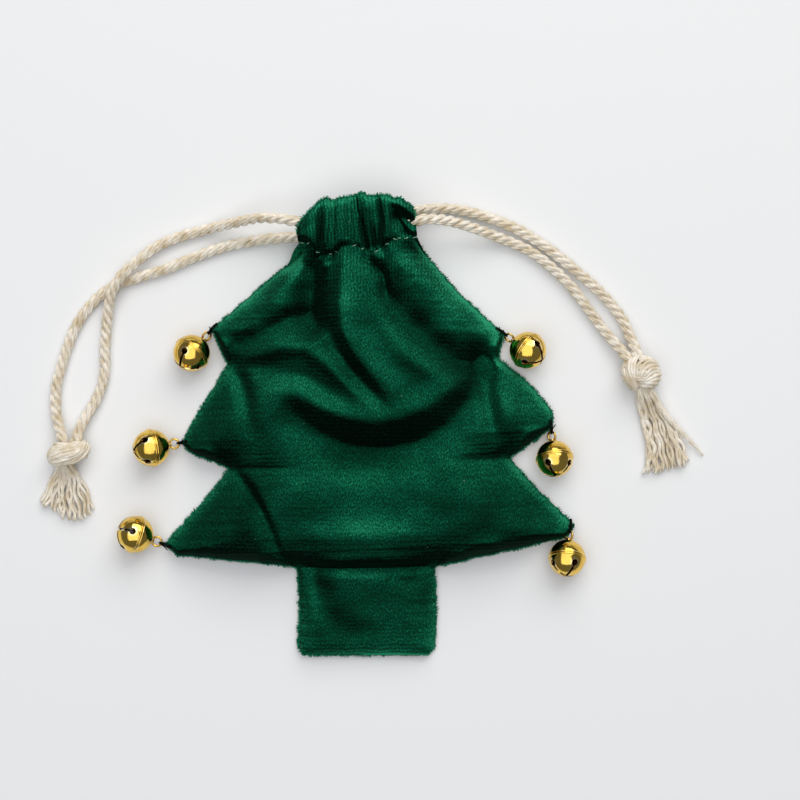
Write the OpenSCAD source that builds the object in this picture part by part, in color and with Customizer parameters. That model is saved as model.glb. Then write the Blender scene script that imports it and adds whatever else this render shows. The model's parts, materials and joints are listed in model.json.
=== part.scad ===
// Drawstring gift pouch in pile velour, cut as a fir tree and lying on its back.
// Millimetres, +Z up, +Y towards the neck. The pouch rests on Z = 0.

/* [Cloth] */
// Thickness of the back panel
back_t = 1.2; // [0.8:0.1:2]
// Thickness of the front panel
front_t = 1.0; // [0.7:0.1:1.4]
// Height of the turned seam allowance at the front panel's edge
seam_h = 1.4; // [1.2:0.1:2]
// Width of the sewn margin where the two panels meet
seam_w = 1.6; // [1.2:0.1:2.4]
// Height of the filled body above the back panel
body_h = 14.5; // [11:0.5:18]
// Height of the trunk above the back panel
trunk_h = 8.5; // [6:0.5:12]
// Depth of the gathers that fan out below the neck
gather_h = 2.2; // [0:0.1:3]
// Depth of the hollow where the filled half slumps
slump_h = 3.5; // [0:0.5:5]

/* [Tree outline] */
// Width over the top tier's tips
top_tier_w = 79; // [72:0.5:86]
// Width over the middle tier's tips
middle_tier_w = 100.8; // [94:0.2:106]
// Width over the bottom tier's tips
bottom_tier_w = 110; // [104:0.5:116]
// Width at the notch under the top tier
top_notch_w = 73.3; // [64:0.1:76]
// Width at the notch under the middle tier
middle_notch_w = 75.6; // [66:0.2:82]
// Width of the trunk
trunk_w = 37; // [30:0.5:44]
// Length of the trunk
trunk_l = 23.9; // [18:0.1:30]
// Radius of the trunk's bottom corners
trunk_r = 1.5; // [1:0.1:3]

/* [Neck] */
// Width of the gathered neck
neck_w = 32; // [30:0.5:38]
// Height of the casing from its stitch line to the fold at its ends
casing_l = 11; // [11:0.1:13]
// How far the fold rises above its ends at the middle
casing_crown = 3.4; // [1:0.1:5]
// Thickness of the casing's outer layer
casing_t = 1.0; // [0.7:0.1:1.4]
// Thickness of the casing's layer next to the mouth
liner_t = 0.8; // [0.6:0.1:1.2]
// Open height of the mouth between the two casings
mouth_gap = 4.8; // [4.4:0.1:7]
// Height of the pleats on the front casing
pleat_h = 1.8; // [0:0.1:2.5]
// Number of pleats across the front casing
pleat_count = 6; // [4:1:8]
// Diameter of the sewing thread on the casings
stitch_d = 0.4; // [0.3:0.05:0.6]
// Number of stitches across each casing
stitch_count = 13; // [8:1:18]

/* [Drawstrings] */
// Diameter of the twisted cotton cord
cord_d = 3; // [2.6:0.1:3.2]
// Clearance round a cord in its casing
cord_clear = 0.2; // [0.1:0.05:0.4]
// Gap between the two cords in one casing
lane_gap = 0.4; // [0.3:0.05:0.8]
// Length of each overhand knot
knot_l = 10.6; // [9:0.2:12]
// Thickness of each overhand knot
knot_t = 7.4; // [6.4:0.2:8]
// Length of the left frayed tassel
left_tassel_l = 13; // [10:0.5:16]
// Length of the right frayed tassel
right_tassel_l = 19; // [15:0.5:22]

/* [Bells] */
// Outside diameter of a bell
bell_d = 10; // [9.6:0.1:10.6]
// Wall of a bell's two pressed shells
shell_t = 0.45; // [0.3:0.05:0.6]
// Radius of the rolled rim round a bell's seam
rim_r = 0.28; // [0.2:0.02:0.34]
// Width of the two crossed slots
slot_w = 0.7; // [0.5:0.05:1]
// Diameter of the hole at each end of a slot
slot_hole_d = 1.8; // [1.4:0.1:2.2]
// Angle of those holes from the bell's pole
slot_angle = 60; // [52:1:64]
// Diameter of the pellet inside
pellet_d = 3; // [2.5:0.1:3.4]
// Radius of the wire eye to the middle of its wire
eye_r = 1.25; // [1.1:0.05:1.5]
// Diameter of the eye's wire
wire_d = 0.6; // [0.5:0.05:0.7]
// Diameter of the stem that holds the eye in the crown
stem_d = 0.9; // [0.7:0.05:1]
// Radius of the thread loop to the middle of the thread
loop_r = 1.9; // [1.8:0.05:2]
// Diameter of the thread loop
thread_d = 0.4; // [0.3:0.05:0.45]

/* [Hidden] */
$fn = 48;
velour = "#0d5138";
velour_dark = "#08402b";
stitch_green = "#5fae83";
cotton = "#dccfb2";
gold = "#c99a32";
bright_gold = "#e0b44a";
steel = "#b8bcc0";
black_thread = "#14201a";

SIDES = ["left", "right"];
BELLS = ["upper_left", "middle_left", "lower_left", "upper_right", "middle_right", "lower_right"];
BELL_PIECES = ["crown", "base", "eye", "pellet", "thread"];

// ---- Small helpers ----

function unit(v) = v / norm(v);
function turned(p, a) = [p.x * cos(a) - p.y * sin(a), p.x * sin(a) + p.y * cos(a)];
function reversed(list) = [for (i = [len(list) - 1 : -1 : 0]) list[i]];
function eased(x) = let (t = max(0, min(1, x))) t * t * (3 - 2 * t);

// ---- Neck frame: u runs along the casing, v from the stitch line to the fold ----

neck_at = [1.9, 48];
neck_tilt = 6;
function on_neck(u, v) = neck_at + turned([u, v], neck_tilt);
function neck_v(p) = turned(p - neck_at, -neck_tilt).y;

cavity_h = cord_d + 2 * cord_clear;
casing_h = casing_t + cavity_h + liner_t;
neck_h = 2 * casing_h + mouth_gap;
front_cord_z = neck_h - casing_t - cavity_h / 2;
back_cord_z = casing_t + cavity_h / 2;
seam_t = 2;
seam_v = 1.4;

// Each casing carries both cords side by side, in a lower and an upper lane.
cavity_v = 2.8;
lower_lane = cavity_v + cord_clear + cord_d / 2;
upper_lane = lower_lane + cord_d + lane_gap;
fold_t = 1.1;
fold_end = max(casing_l, upper_lane + cord_d / 2 + cord_clear + fold_t);

// ---- Tree outline, from the neck down each side to the trunk ----

// A level is its width, the middle's place, and how much higher its right end lies.
function level(w, middle, rise) = [middle + [-w, -rise] / 2, middle + [w, rise] / 2];

top_tips = level(top_tier_w, [1.5, 25.3], -0.8);
top_notches = level(top_notch_w, [3.1, 16.9], 1.4);
middle_tips = level(middle_tier_w, [4.4, -1.1], 7.4);
middle_notches = level(middle_notch_w, [4.8, -10.5], 2.8);
bottom_tips = level(bottom_tier_w, [4.2, -30.2], 4.6);
trunk_at = [3.8, -38.6];
trunk_tops = level(trunk_w, trunk_at, 0);
trunk_ends = level(trunk_w, trunk_at - [0, trunk_l - trunk_r], 0);
neck_edge_u = neck_w / 2 - 0.5;
neck_ends = [on_neck(-neck_edge_u, 0), on_neck(neck_edge_u, 0)];

// The lower corner of each blunt tip, measured from the tip.
middle_tip_corners = [[1.5, -2.4], [-0.7, -3.6]];
bottom_tip_corners = [[3.4, -2.8], [-2.7, -2.1]];

// Points from a to b, bowed to the left of that direction.
function bowed(a, b, count, bow) =
    let (side = turned(unit(b - a), 90))
    [for (k = [0 : count - 1]) a + (b - a) * k / count + side * bow * sin(180 * k / count)];

function side_edge(i) =
    let (
        s = i == 0 ? 1 : -1,
        corner_at = trunk_ends[i] + [s * trunk_r, 0],
        middle_corner = middle_tips[i] + middle_tip_corners[i],
        bottom_corner = bottom_tips[i] + bottom_tip_corners[i]
    )
    concat(
        bowed(neck_ends[i], top_tips[i], 8, i == 0 ? 0.3 : 1.2),
        bowed(top_tips[i], top_notches[i], 3, 0),
        bowed(top_notches[i], middle_tips[i], 7, i == 0 ? 0.3 : -1.1),
        [middle_tips[i]],
        bowed(middle_corner, middle_notches[i], 3, 0),
        bowed(middle_notches[i], bottom_tips[i], 7, s * 0.4),
        [bottom_tips[i]],
        bowed(bottom_corner, trunk_tops[i], 5, 0),
        bowed(trunk_tops[i], trunk_ends[i], 6, s * 0.5),
        [for (a = [0 : 30 : 90]) corner_at + trunk_r * [-s * cos(a), -sin(a)]]
    );

left_edge = side_edge(0);
right_edge = side_edge(1);
tree_edge = concat(left_edge, reversed(right_edge));
rows = len(left_edge) - 1;
columns = 26;
function across(j) = (1 - cos(180 * j / columns)) / 2;

// Distance from the sewn edge, which leaves the neck open.
function to_line(p, a, b) =
    let (d = b - a, t = max(0, min(1, (p - a) * d / (d * d))))
    norm(p - a - d * t);
function from_edge(p) = min([for (i = [0 : len(tree_edge) - 2]) to_line(p, tree_edge[i], tree_edge[i + 1])]);

// A point of the edge moved inwards by w, square to the edge on both sides of it.
function inset(i, w) =
    let (
        last = len(tree_edge) - 1,
        before = i == 0 ? undef : turned(unit(tree_edge[i] - tree_edge[i - 1]), 90),
        after = i == last ? undef : turned(unit(tree_edge[i + 1] - tree_edge[i]), 90),
        a = is_undef(before) ? after : before,
        b = is_undef(after) ? before : after
    )
    tree_edge[i] + (a + b) * w / max(0.6, 1 + a * b);
function inner_left(i) = i == 0 ? on_neck(-neck_edge_u + seam_w, 0) : inset(i, seam_w);
function inner_right(i) = i == 0 ? on_neck(neck_edge_u - seam_w, 0) : inset(len(tree_edge) - 1 - i, seam_w);

// ---- Filled front: height over the back panel ----

neck_fill = neck_h - 0.6 - back_t;
trunk_end_v = neck_v(trunk_at - [0, trunk_l]);
function fill_height(p) = lookup(neck_v(p), [
    [trunk_end_v, trunk_h * 0.7],
    [trunk_end_v + trunk_l / 2, trunk_h],
    [trunk_end_v + trunk_l, trunk_h + 1],
    [-66, body_h - 1],
    [-44, body_h],
    [-20, body_h],
    [0, neck_fill]
]);
// The width of the slope from the seam up to that height.
function slope_width(p) = lookup(neck_v(p), [
    [trunk_end_v, 7],
    [trunk_end_v + trunk_l, 12],
    [-66, 21],
    [-24, 20],
    [-8, 9],
    [0, 4]
]);
function climb(d, p) = pow(sin(90 * max(0, min(1, d / slope_width(p)))), 1.3);

// Gathers fan out from the neck and fade down the body.
gather_waves = 2.5;
gather_start = 8;
gather_end = 52;
gather_fade = 40;
function gathers(p, s) =
    let (v = neck_v(p))
    -gather_h * (1 + cos(360 * gather_waves * s)) / 2 * eased(-v / gather_start) * eased((v + gather_end) / gather_fade);
// The filled half slumps along an arc round the neck.
slump_at = [9, 33];
slump_r = 36;
function slump(p) =
    let (r = norm(p - slump_at), facing = eased((slump_at.y - p.y) / 20))
    facing * (1.2 * exp(-pow((r - slump_r + 11) / 7, 2)) - slump_h * exp(-pow((r - slump_r) / 5, 2)));
function drape(p, s, d) = (gathers(p, s) + slump(p)) * eased(d / 12);

function outer_z(p, s) =
    let (d = from_edge(p))
    back_t + seam_h + (fill_height(p) - seam_h) * climb(d, p) + drape(p, s, d);
function inner_z(p, s) =
    let (d = from_edge(p))
    back_t + (fill_height(p) - front_t) * climb(d - seam_w, p) + drape(p, s, d) * climb(d - seam_w, p);

function row_point(a, b, j) = a + (b - a) * across(j);
function outer_row(i) = [for (j = [0 : columns])
    let (p = row_point(left_edge[i], right_edge[i], j)) [p.x, p.y, outer_z(p, 2 * across(j) - 1)]];
function inner_row(i) = [for (j = [0 : columns])
    let (p = row_point(inner_left(i), inner_right(i), j), flat = j == 0 || j == columns || i == rows)
    [p.x, p.y, flat ? back_t : max(back_t, inner_z(p, 2 * across(j) - 1))]];
function rim_row(i) = [[left_edge[i].x, left_edge[i].y, back_t], [right_edge[i].x, right_edge[i].y, back_t]];

// Grid faces between rows of one length, wound so that the grid faces up or down.
function grid_faces(first, count, row_count, up) = [for (i = [0 : row_count - 2]) for (j = [0 : count - 2])
    for (half = [0, 1])
        let (
            a = first + i * count + j,
            b = a + 1,
            c = a + count,
            d = c + 1,
            tri = half == 0 ? [a, c, b] : [b, c, d]
        )
        up ? tri : reversed(tri)];

// The shell between an outer and an inner skin, standing on a flat rim and open at the neck.
module filled_shell() {
    n = columns + 1;
    m = rows + 1;
    bottom = [for (j = [0 : columns])
        let (p = row_point(left_edge[rows], right_edge[rows], j)) [p.x, p.y, back_t]];
    points = concat(
        [for (i = [0 : rows]) each outer_row(i)],
        [for (i = [0 : rows]) each inner_row(i)],
        [for (i = [0 : rows]) each rim_row(i)],
        [for (j = [1 : columns - 1]) bottom[j]]
    );
    inner = n * m;
    rim = 2 * n * m;
    last = rows * n;
    function low(j) = j == 0 ? rim + 2 * rows : j == columns ? rim + 2 * rows + 1 : rim + 2 * m + j - 1;
    sides = [for (i = [0 : rows - 1]) each [
        [rim + 2 * i, rim + 2 * i + 2, i * n + n, i * n],
        [inner + i * n, inner + i * n + n, rim + 2 * i + 2, rim + 2 * i],
        [rim + 2 * i + 3, rim + 2 * i + 1, i * n + columns, i * n + n + columns],
        [inner + i * n + n + columns, inner + i * n + columns, rim + 2 * i + 1, rim + 2 * i + 3]
    ]];
    foot = [for (j = [0 : columns - 1]) each [
        [low(j), low(j + 1), last + j + 1, last + j],
        [inner + last + j, inner + last + j + 1, low(j + 1), low(j)]
    ]];
    mouth = concat(
        [[rim, 0, inner]],
        [for (j = [0 : columns - 1]) [j, j + 1, inner + j + 1, inner + j]],
        [[rim + 1, inner + columns, columns]]
    );
    triangles = [for (f = concat(sides, foot, mouth)) each
        len(f) == 4 ? [[f[0], f[1], f[2]], [f[0], f[2], f[3]]] : [f]];
    polyhedron(points, [for (f = concat(grid_faces(0, n, m, true), grid_faces(inner, n, m, false), triangles))
        reversed(f)]);
}

// ---- Bell places: tip of the cloth, heading, roll of the eye about it, spin of the slots ----

tip_setback = 0.4;
bell_tip = [
    top_tips[0],
    middle_tips[0],
    bottom_tips[0],
    top_tips[1],
    middle_tips[1] + [-0.7, -3.6],
    bottom_tips[1]
];
bell_heading = [231, 190, 159, -36, -85, -97];
bell_roll = [-45, 0, 0, 45, 45, 45];
bell_spin = [20, 35, 15, 50, 30, 65];

run_clear = 0.05;
loop_z = 2.2;
eye_x = loop_r - thread_d / 2 - run_clear - wire_d / 2 + eye_r;
bell_reach = bell_d / 2 + eye_r + 0.35;
bell_lift = 0.02;
bell_pitch = asin((bell_d / 2 + bell_lift - loop_z) / bell_reach);
loop_hole_d = thread_d + 0.5;
loop_hole_x = loop_r - 0.14;
loop_room = 0.4;
pellet_orbit = bell_d / 2 - shell_t - run_clear - pellet_d / 2;
stem_clear = 0.05;
stem_head_t = 0.3;

function loop_centre(i) = bell_tip[i] - tip_setback * turned([1, 0], bell_heading[i]);

module at_loop(i) {
    c = loop_centre(i);
    translate([c.x, c.y, loop_z]) rotate([0, 0, bell_heading[i]]) children();
}
// Origin at the bell's middle, +Z out along its axis and away from the eye.
module at_bell(i) {
    at_loop(i) translate([eye_x, 0, 0]) rotate([0, -bell_pitch, 0]) translate([bell_reach, 0, 0])
        rotate([0, 90, 0]) children();
}
module ring(r, d) {
    rotate_extrude() translate([r, 0]) circle(d = d);
}

// ---- Bell pieces ----

module shell_profile(up) {
    intersection() {
        union() {
            difference() {
                circle(d = bell_d);
                circle(d = bell_d - 2 * shell_t);
            }
            translate([bell_d / 2 - rim_r * 0.35, up ? rim_r : -rim_r]) circle(r = rim_r);
        }
        translate([0, up ? 0 : -bell_d]) square([bell_d, bell_d]);
    }
}
module bell_crown(i) {
    color(gold) at_bell(i) difference() {
        rotate_extrude() shell_profile(false);
        translate([0, 0, -bell_d]) cylinder(d = stem_d + 2 * stem_clear, h = bell_d);
    }
}
module bell_base(i) {
    slot_reach = bell_d / 2 * sin(slot_angle);
    color(bright_gold) at_bell(i) rotate([0, 0, bell_spin[i]]) difference() {
        rotate_extrude() shell_profile(true);
        for (turn = [0, 90]) rotate([0, 0, turn])
            translate([-slot_reach, -slot_w / 2, bell_d * 0.15]) cube([2 * slot_reach, slot_w, bell_d]);
        for (turn = [0 : 90 : 270]) rotate([0, slot_angle, turn])
            translate([0, 0, bell_d * 0.3]) cylinder(d = slot_hole_d, h = bell_d / 2);
    }
}
module bell_eye(i) {
    head_z = -sqrt(pow(bell_d / 2 - shell_t, 2) - pow(stem_d, 2)) + run_clear;
    color(gold) union() {
        at_loop(i) translate([eye_x, 0, 0]) rotate([bell_roll[i], 0, 0]) ring(eye_r, wire_d);
        at_bell(i) translate([0, 0, -bell_reach + eye_r - wire_d / 2])
            cylinder(d = stem_d, h = bell_reach - eye_r + wire_d / 2 + head_z);
        at_bell(i) translate([0, 0, head_z]) cylinder(d = 2 * stem_d, h = stem_head_t);
    }
}
module bell_pellet(i) {
    color(steel) at_bell(i) translate([pellet_orbit, 0, 0]) sphere(d = pellet_d);
}
module bell_thread(i) {
    color(black_thread) at_loop(i) rotate([90, 0, 0]) ring(loop_r, thread_d);
}

// ---- Cloth pieces ----

module front_panel() {
    color(velour) difference() {
        filled_shell();
        for (i = [0 : len(BELLS) - 1])
            at_loop(i) translate([-loop_hole_x, 0, -loop_z]) cylinder(d = loop_hole_d, h = neck_h);
    }
}
module back_panel() {
    color(velour_dark) linear_extrude(back_t) difference() {
        polygon(tree_edge);
        for (i = [0 : len(BELLS) - 1]) translate(loop_centre(i)) circle(r = loop_r + thread_d / 2 + loop_room);
    }
}

// The casing's section in [v, z] for the front; z is measured from the mouth side.
// One layer of cloth runs from the seam over the cords and round the fold, and its hem comes back to
// the seam. Towards both ends the hem comes away from the seam, lies flat and then stops at the fold,
// which leaves the cords room to turn back.
hem_gap = 0.1;
turn_room = 0.3;
hem_sewn = 1.9;
hem_flat = 2.9;
hem_short = 3.4;
function fold_v(u) = fold_end + casing_crown * pow(max(0, cos(90 * u / (neck_w / 2))), 0.8);
function pleat(u, amount) = amount * pow(abs(cos(180 * pleat_count * (u / neck_w + 0.5))), 1.5);
function hem(u, f, g, seam_z) =
    let (place = abs(u) / neck_w * 16, v = cavity_v, low = liner_t, end = f - 2.7, half = casing_h / 2)
    place > hem_short
        ? [for (side = [0, 1]) for (k = [1 : 6])
            side == 0 ? [f, half - turn_room * k / 6] : [g, half - turn_room + turn_room * (k - 1) / 12]]
        : concat(
            [[f - 0.3, 1.2], [f - 1.2, 0.3], [f - 2.4, 0]],
            place > hem_flat
                ? [[end + 0.2, 0], [end + 0.1, 0], [end, 0], [end, low], [end + 0.1, low], [end + 0.2, low]]
                : concat(
                    [[upper_lane - 2, 0], [v - 0.2, 0]],
                    place > hem_sewn
                        ? [[v - 0.3, 0], [v - 0.3, low], [v, low]]
                        : [[seam_v, seam_z - hem_gap], [v, seam_z - hem_gap], [v + 0.1, low + 0.6]],
                    [[v + 0.5, low]]
                ),
            [[g - 1.3, low], [g - 0.5, low + 0.3], [g - 0.1, low + 1]]
        );
function casing_section(u, amount) =
    let (
        f = fold_v(u), g = f - fold_t, top = casing_h, roof = top - casing_t,
        p = pleat(u, amount), v = cavity_v, seam_z = top - seam_t
    )
    concat(
        [
            [0, seam_z], [0, top], [seam_v, top], [v + 0.4, top + 0.6 * p],
            [lower_lane, top + p], [upper_lane, top + p], [f - 2.2, top + 0.8 * p],
            [f - 0.9, top - 0.6 + 0.4 * p], [f - 0.2, top - 1.6], [f, top / 2]
        ],
        hem(u, f, g, seam_z),
        [
            [g, (liner_t + roof) / 2], [g - 0.1, roof - 1], [g - 0.5, roof - 0.3 + 0.4 * p],
            [g - 1.3, roof + 0.8 * p], [upper_lane, roof + p], [lower_lane, roof + p],
            [v + 1, roof + 0.6 * p], [v + 0.5, roof], [v + 0.1, roof - 0.4], [v, seam_z]
        ]
    );

module casing(stations, amount) {
    sections = [for (k = [0 : stations])
        let (u = neck_w * (k / stations - 0.5))
        [for (q = casing_section(u, amount)) let (p = on_neck(u, q[0])) [p.x, p.y, q[1]]]];
    n = len(sections[0]);
    skin = [for (i = [0 : stations - 1]) for (j = [0 : n - 1])
        let (a = i * n + j, b = i * n + (j + 1) % n)
        each [[a, b, a + n], [b, b + n, a + n]]];
    polyhedron(
        [for (section = sections) each section],
        concat(skin, [[for (j = [n - 1 : -1 : 0]) j], [for (j = [0 : n - 1]) stations * n + j]])
    );
}
module front_casing() {
    color(velour) translate([0, 0, neck_h - casing_h]) casing(32, pleat_h);
}
module back_casing() {
    color(velour_dark) translate([0, 0, casing_h]) mirror([0, 0, 1]) casing(16, 0);
}

stitch_u = (neck_w - 4) / stitch_count;
stitch_l = stitch_u * 0.55;
stitch_lift = 0.03;
module stitch_row(z) {
    for (k = [0 : stitch_count - 1]) {
        p = on_neck((k - (stitch_count - 1) / 2) * stitch_u, seam_v / 2);
        translate([p.x, p.y, z + stitch_d / 2 + stitch_lift]) rotate([0, 0, neck_tilt]) rotate([0, 90, 0]) {
            cylinder(d = stitch_d, h = stitch_l, center = true);
            for (s = [-1, 1]) translate([0, 0, s * stitch_l / 2]) sphere(d = stitch_d);
        }
    }
}
module front_stitching() {
    color(stitch_green) stitch_row(neck_h);
}
module back_stitching() {
    color(stitch_green) stitch_row(seam_t);
}

// ---- Drawstrings ----

// The strands outside the neck, from where they leave it to the knot.
left_over = [
    [-19, 55.2, 11.8], [-25, 55.4, 9], [-32, 54.4, 5], [-39, 53, 2.2], [-46, 51.2, 1.7], [-52.4, 48.6, 2.2],
    [-57.4, 44.8, 3.4], [-62.2, 40.2, 4.8], [-65.2, 34.6, 3.6], [-66.4, 28, 1.9], [-67, 21, 1.5],
    [-67.2, 14, 1.5], [-69, 7.6, 1.6], [-72.2, 1.8, 2.4], [-74.4, -2.6, 3.2]
];
left_under = [
    [-20, 50.6, 2.4], [-27, 49.8, 1.7], [-35, 48.2, 1.5], [-43, 45.4, 1.5], [-50.6, 42.2, 1.5], [-58, 40, 1.5],
    [-65.4, 37.2, 1.5], [-71.4, 32, 1.5], [-75.6, 25.2, 1.5], [-78.2, 18, 1.5], [-80.2, 10.6, 1.5],
    [-80.8, 4, 1.8], [-79.4, -2, 2.8]
];
right_over = [
    [21.6, 54.9, 11.4], [28, 54.4, 8], [35, 52.4, 4.4], [42, 50, 1.9], [48.6, 47, 1.5], [54.4, 42.6, 1.5],
    [59.4, 37.8, 1.5], [63.8, 32, 1.5], [67.6, 25.8, 1.6], [71.4, 20.4, 2.4], [73.2, 18.4, 3.1]
];
right_under = [
    [21.6, 58.5, 2.4], [28.4, 58.4, 1.7], [35.6, 56.8, 1.5], [43, 54, 1.5], [50.2, 50, 1.5], [56.8, 45.2, 1.5],
    [63, 40, 1.5], [69, 34.4, 1.5], [74, 28.4, 1.6], [76.6, 22.6, 2.4], [77.2, 19.8, 3.2]
];

// Where each drawstring turns back inside the far end of the neck.
turn_end_u = neck_w / 2 - 0.6;
turn_steps = 6;
function turn_back(s, front_v, back_v) =
    let (
        a = on_neck(0, front_v), b = on_neck(0, back_v),
        front = [a.x, a.y, front_cord_z], back = [b.x, b.y, back_cord_z],
        half = (front - back) / 2, r = norm(half), along = turned([1, 0], neck_tilt),
        start = turn_end_u - cord_d / 2 - r
    )
    [for (k = [0 : turn_steps])
        let (t = 180 * k / turn_steps)
        (front + back) / 2 + half * cos(t) + s * (start + r * sin(t)) * [along.x, along.y, 0]];
function lane_exit(s, v, z) = let (p = on_neck(s * (neck_w / 2 + 1), v)) [p.x, p.y, z];

left_route = concat(
    reversed(left_over),
    [lane_exit(-1, upper_lane, front_cord_z)],
    turn_back(1, upper_lane, lower_lane),
    [lane_exit(-1, lower_lane, back_cord_z)],
    left_under
);
right_route = concat(
    reversed(right_over),
    [lane_exit(1, lower_lane, front_cord_z)],
    turn_back(-1, lower_lane, upper_lane),
    [lane_exit(1, upper_lane, back_cord_z)],
    right_under
);

function tangents(route) = [for (i = [0 : len(route) - 1])
    unit(route[min(i + 1, len(route) - 1)] - route[max(i - 1, 0)])];
function carried(t, i, side) = i == len(t) ? [] :
    let (s = unit(side - (side * t[i]) * t[i])) concat([s], carried(t, i + 1, s));

cord_sides = 8;
module cord(route) {
    t = tangents(route);
    sides = carried(t, 0, [0, 0, 1]);
    m = len(route);
    n = cord_sides;
    rings = [for (i = [0 : m - 1])
        let (a = sides[i], b = cross(t[i], a))
        for (k = [0 : n - 1]) route[i] + cord_d / 2 * (cos(360 * (k + 0.5) / n) * a + sin(360 * (k + 0.5) / n) * b)];
    skin = [for (i = [0 : m - 2]) for (k = [0 : n - 1])
        let (p = i * n + k, q = i * n + (k + 1) % n)
        each [[p, p + n, q], [q, p + n, q + n]]];
    polyhedron(rings, concat(skin, [[for (k = [0 : n - 1]) k], [for (k = [n - 1 : -1 : 0]) (m - 1) * n + k]]));
}

// Knot middle and heading, tassel root and heading, for each side.
knot_at = [[-76.7, -7.8], [77.4, 13.6]];
knot_heading = [20, -38];
tassel_heading = [-102, -68];
tassel_l = [left_tassel_l, right_tassel_l];

// An overhand knot in both strands: three leaning wraps drawn tight round a core.
wrap_lean = 16;
module knot(i) {
    wrap_r = knot_t / 2 - cord_d / 2;
    pitch = (knot_l - cord_d) / 2 - wrap_r * sin(wrap_lean);
    color(cotton) translate([knot_at[i].x, knot_at[i].y, knot_t / 2]) rotate([0, 90, knot_heading[i]]) {
        cylinder(r = wrap_r, h = 2 * pitch, center = true);
        for (k = [-1, 0, 1]) translate([0, 0, k * pitch]) rotate([0, k * wrap_lean, 0]) ring(wrap_r, cord_d);
    }
}

// The frayed end: a round root that opens to a flat fan with a ragged edge.
tassel_root_r = 1.8;
tassel_spread = 5.2;
tassel_teeth = 12;
tassel_rings = 6;
// From the knot's middle to a tassel's root that leaves it at angle a to its length.
root_gap = 1;
function knot_reach(a) = 1 / norm([cos(a) / (knot_l / 2), sin(a) / (knot_t / 2)]) + root_gap;
module tassel(i) {
    n = 2 * tassel_teeth;
    function ragged(a) = 1.6 * sin(5 * a) + 1.1 * cos(3 * a);
    rings = [for (k = [0 : tassel_rings - 1])
        let (
            t = k / (tassel_rings - 1), w = tassel_root_r + (tassel_spread - tassel_root_r) * pow(t, 1.4),
            h = tassel_root_r * (1 - 0.5 * t)
        )
        for (j = [0 : n - 1])
            let (a = 360 * j / n)
            [tassel_l[i] * t + (k == tassel_rings - 1 ? ragged(a) : 0), w * cos(a), h * (1 + sin(a)) + 0.1]];
    skin = [for (k = [0 : tassel_rings - 2]) for (j = [0 : n - 1])
        let (p = k * n + j, q = k * n + (j + 1) % n)
        each [[p, p + n, q], [q, p + n, q + n]]];
    end = tassel_rings * n;
    tip = [tassel_l[i] * 0.97, 0, tassel_root_r * 0.5];
    root = [0, 0, tassel_root_r + 0.1];
    caps = [for (j = [0 : n - 1]) each [
        [end, (tassel_rings - 1) * n + (j + 1) % n, (tassel_rings - 1) * n + j],
        [end + 1, j, (j + 1) % n]
    ]];
    start = knot_at[i] + turned([knot_reach(tassel_heading[i] - knot_heading[i]), 0], tassel_heading[i]);
    color(cotton) translate([start.x, start.y, 0]) rotate([0, 0, tassel_heading[i]])
        polyhedron(concat(rings, [tip, root]), concat(skin, caps));
}

// ---- Nodes ----

front_panel();
back_panel();
front_casing();
back_casing();
front_stitching();
back_stitching();
color(cotton) cord(left_route);  // left_cord
color(cotton) cord(right_route);  // right_cord
for (i = [0, 1]) {
    knot(i);
    tassel(i);
}
for (i = [0 : len(BELLS) - 1]) {
    bell_crown(i);
    bell_base(i);
    bell_eye(i);
    bell_pellet(i);
    bell_thread(i);
}
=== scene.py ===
import json
import math
import bpy
import numpy as np
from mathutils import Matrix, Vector


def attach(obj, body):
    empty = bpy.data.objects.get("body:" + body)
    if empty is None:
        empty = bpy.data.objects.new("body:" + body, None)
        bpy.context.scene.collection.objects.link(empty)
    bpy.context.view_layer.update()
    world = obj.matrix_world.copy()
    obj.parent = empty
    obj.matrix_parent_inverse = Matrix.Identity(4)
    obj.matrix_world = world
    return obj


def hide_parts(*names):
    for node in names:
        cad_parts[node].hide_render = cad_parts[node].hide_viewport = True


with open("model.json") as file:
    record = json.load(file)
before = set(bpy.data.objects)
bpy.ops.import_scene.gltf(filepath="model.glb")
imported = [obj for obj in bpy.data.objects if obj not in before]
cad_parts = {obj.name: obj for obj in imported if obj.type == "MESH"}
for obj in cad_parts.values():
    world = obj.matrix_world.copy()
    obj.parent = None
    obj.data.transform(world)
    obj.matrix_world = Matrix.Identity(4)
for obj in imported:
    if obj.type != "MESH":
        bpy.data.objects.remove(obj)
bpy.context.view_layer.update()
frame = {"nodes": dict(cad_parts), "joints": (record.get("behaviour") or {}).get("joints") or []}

MM = 0.001

# ---- Table, light and camera ----
# The pouch lies on its back on matt white card, under a large soft panel overhead and a smaller one
# beyond the neck, a little to the right. The camera looks straight down.

VIEW_WIDTH = 218 * MM
VIEW_CENTRE = Vector((13.1 * MM, 6.7 * MM, 0))
LENS_MM, SENSOR_MM = 90, 36

camera_data = bpy.data.cameras.new("overhead")
camera_data.lens, camera_data.sensor_width, camera_data.clip_start = LENS_MM, SENSOR_MM, 0.01
camera = bpy.data.objects.new("overhead", camera_data)
camera.location = VIEW_CENTRE + Vector((0, 0, VIEW_WIDTH * LENS_MM / SENSOR_MM))
bpy.context.scene.collection.objects.link(camera)
bpy.context.scene.camera = camera
bpy.context.scene.view_settings.view_transform = "Standard"


def linear(code):
    """An sRGB hex colour as linear RGBA."""
    parts = [int(code[i:i + 2], 16) / 255 for i in (1, 3, 5)]
    return (*[c / 12.92 if c <= 0.04045 else ((c + 0.055) / 1.055) ** 2.4 for c in parts], 1.0)


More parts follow.
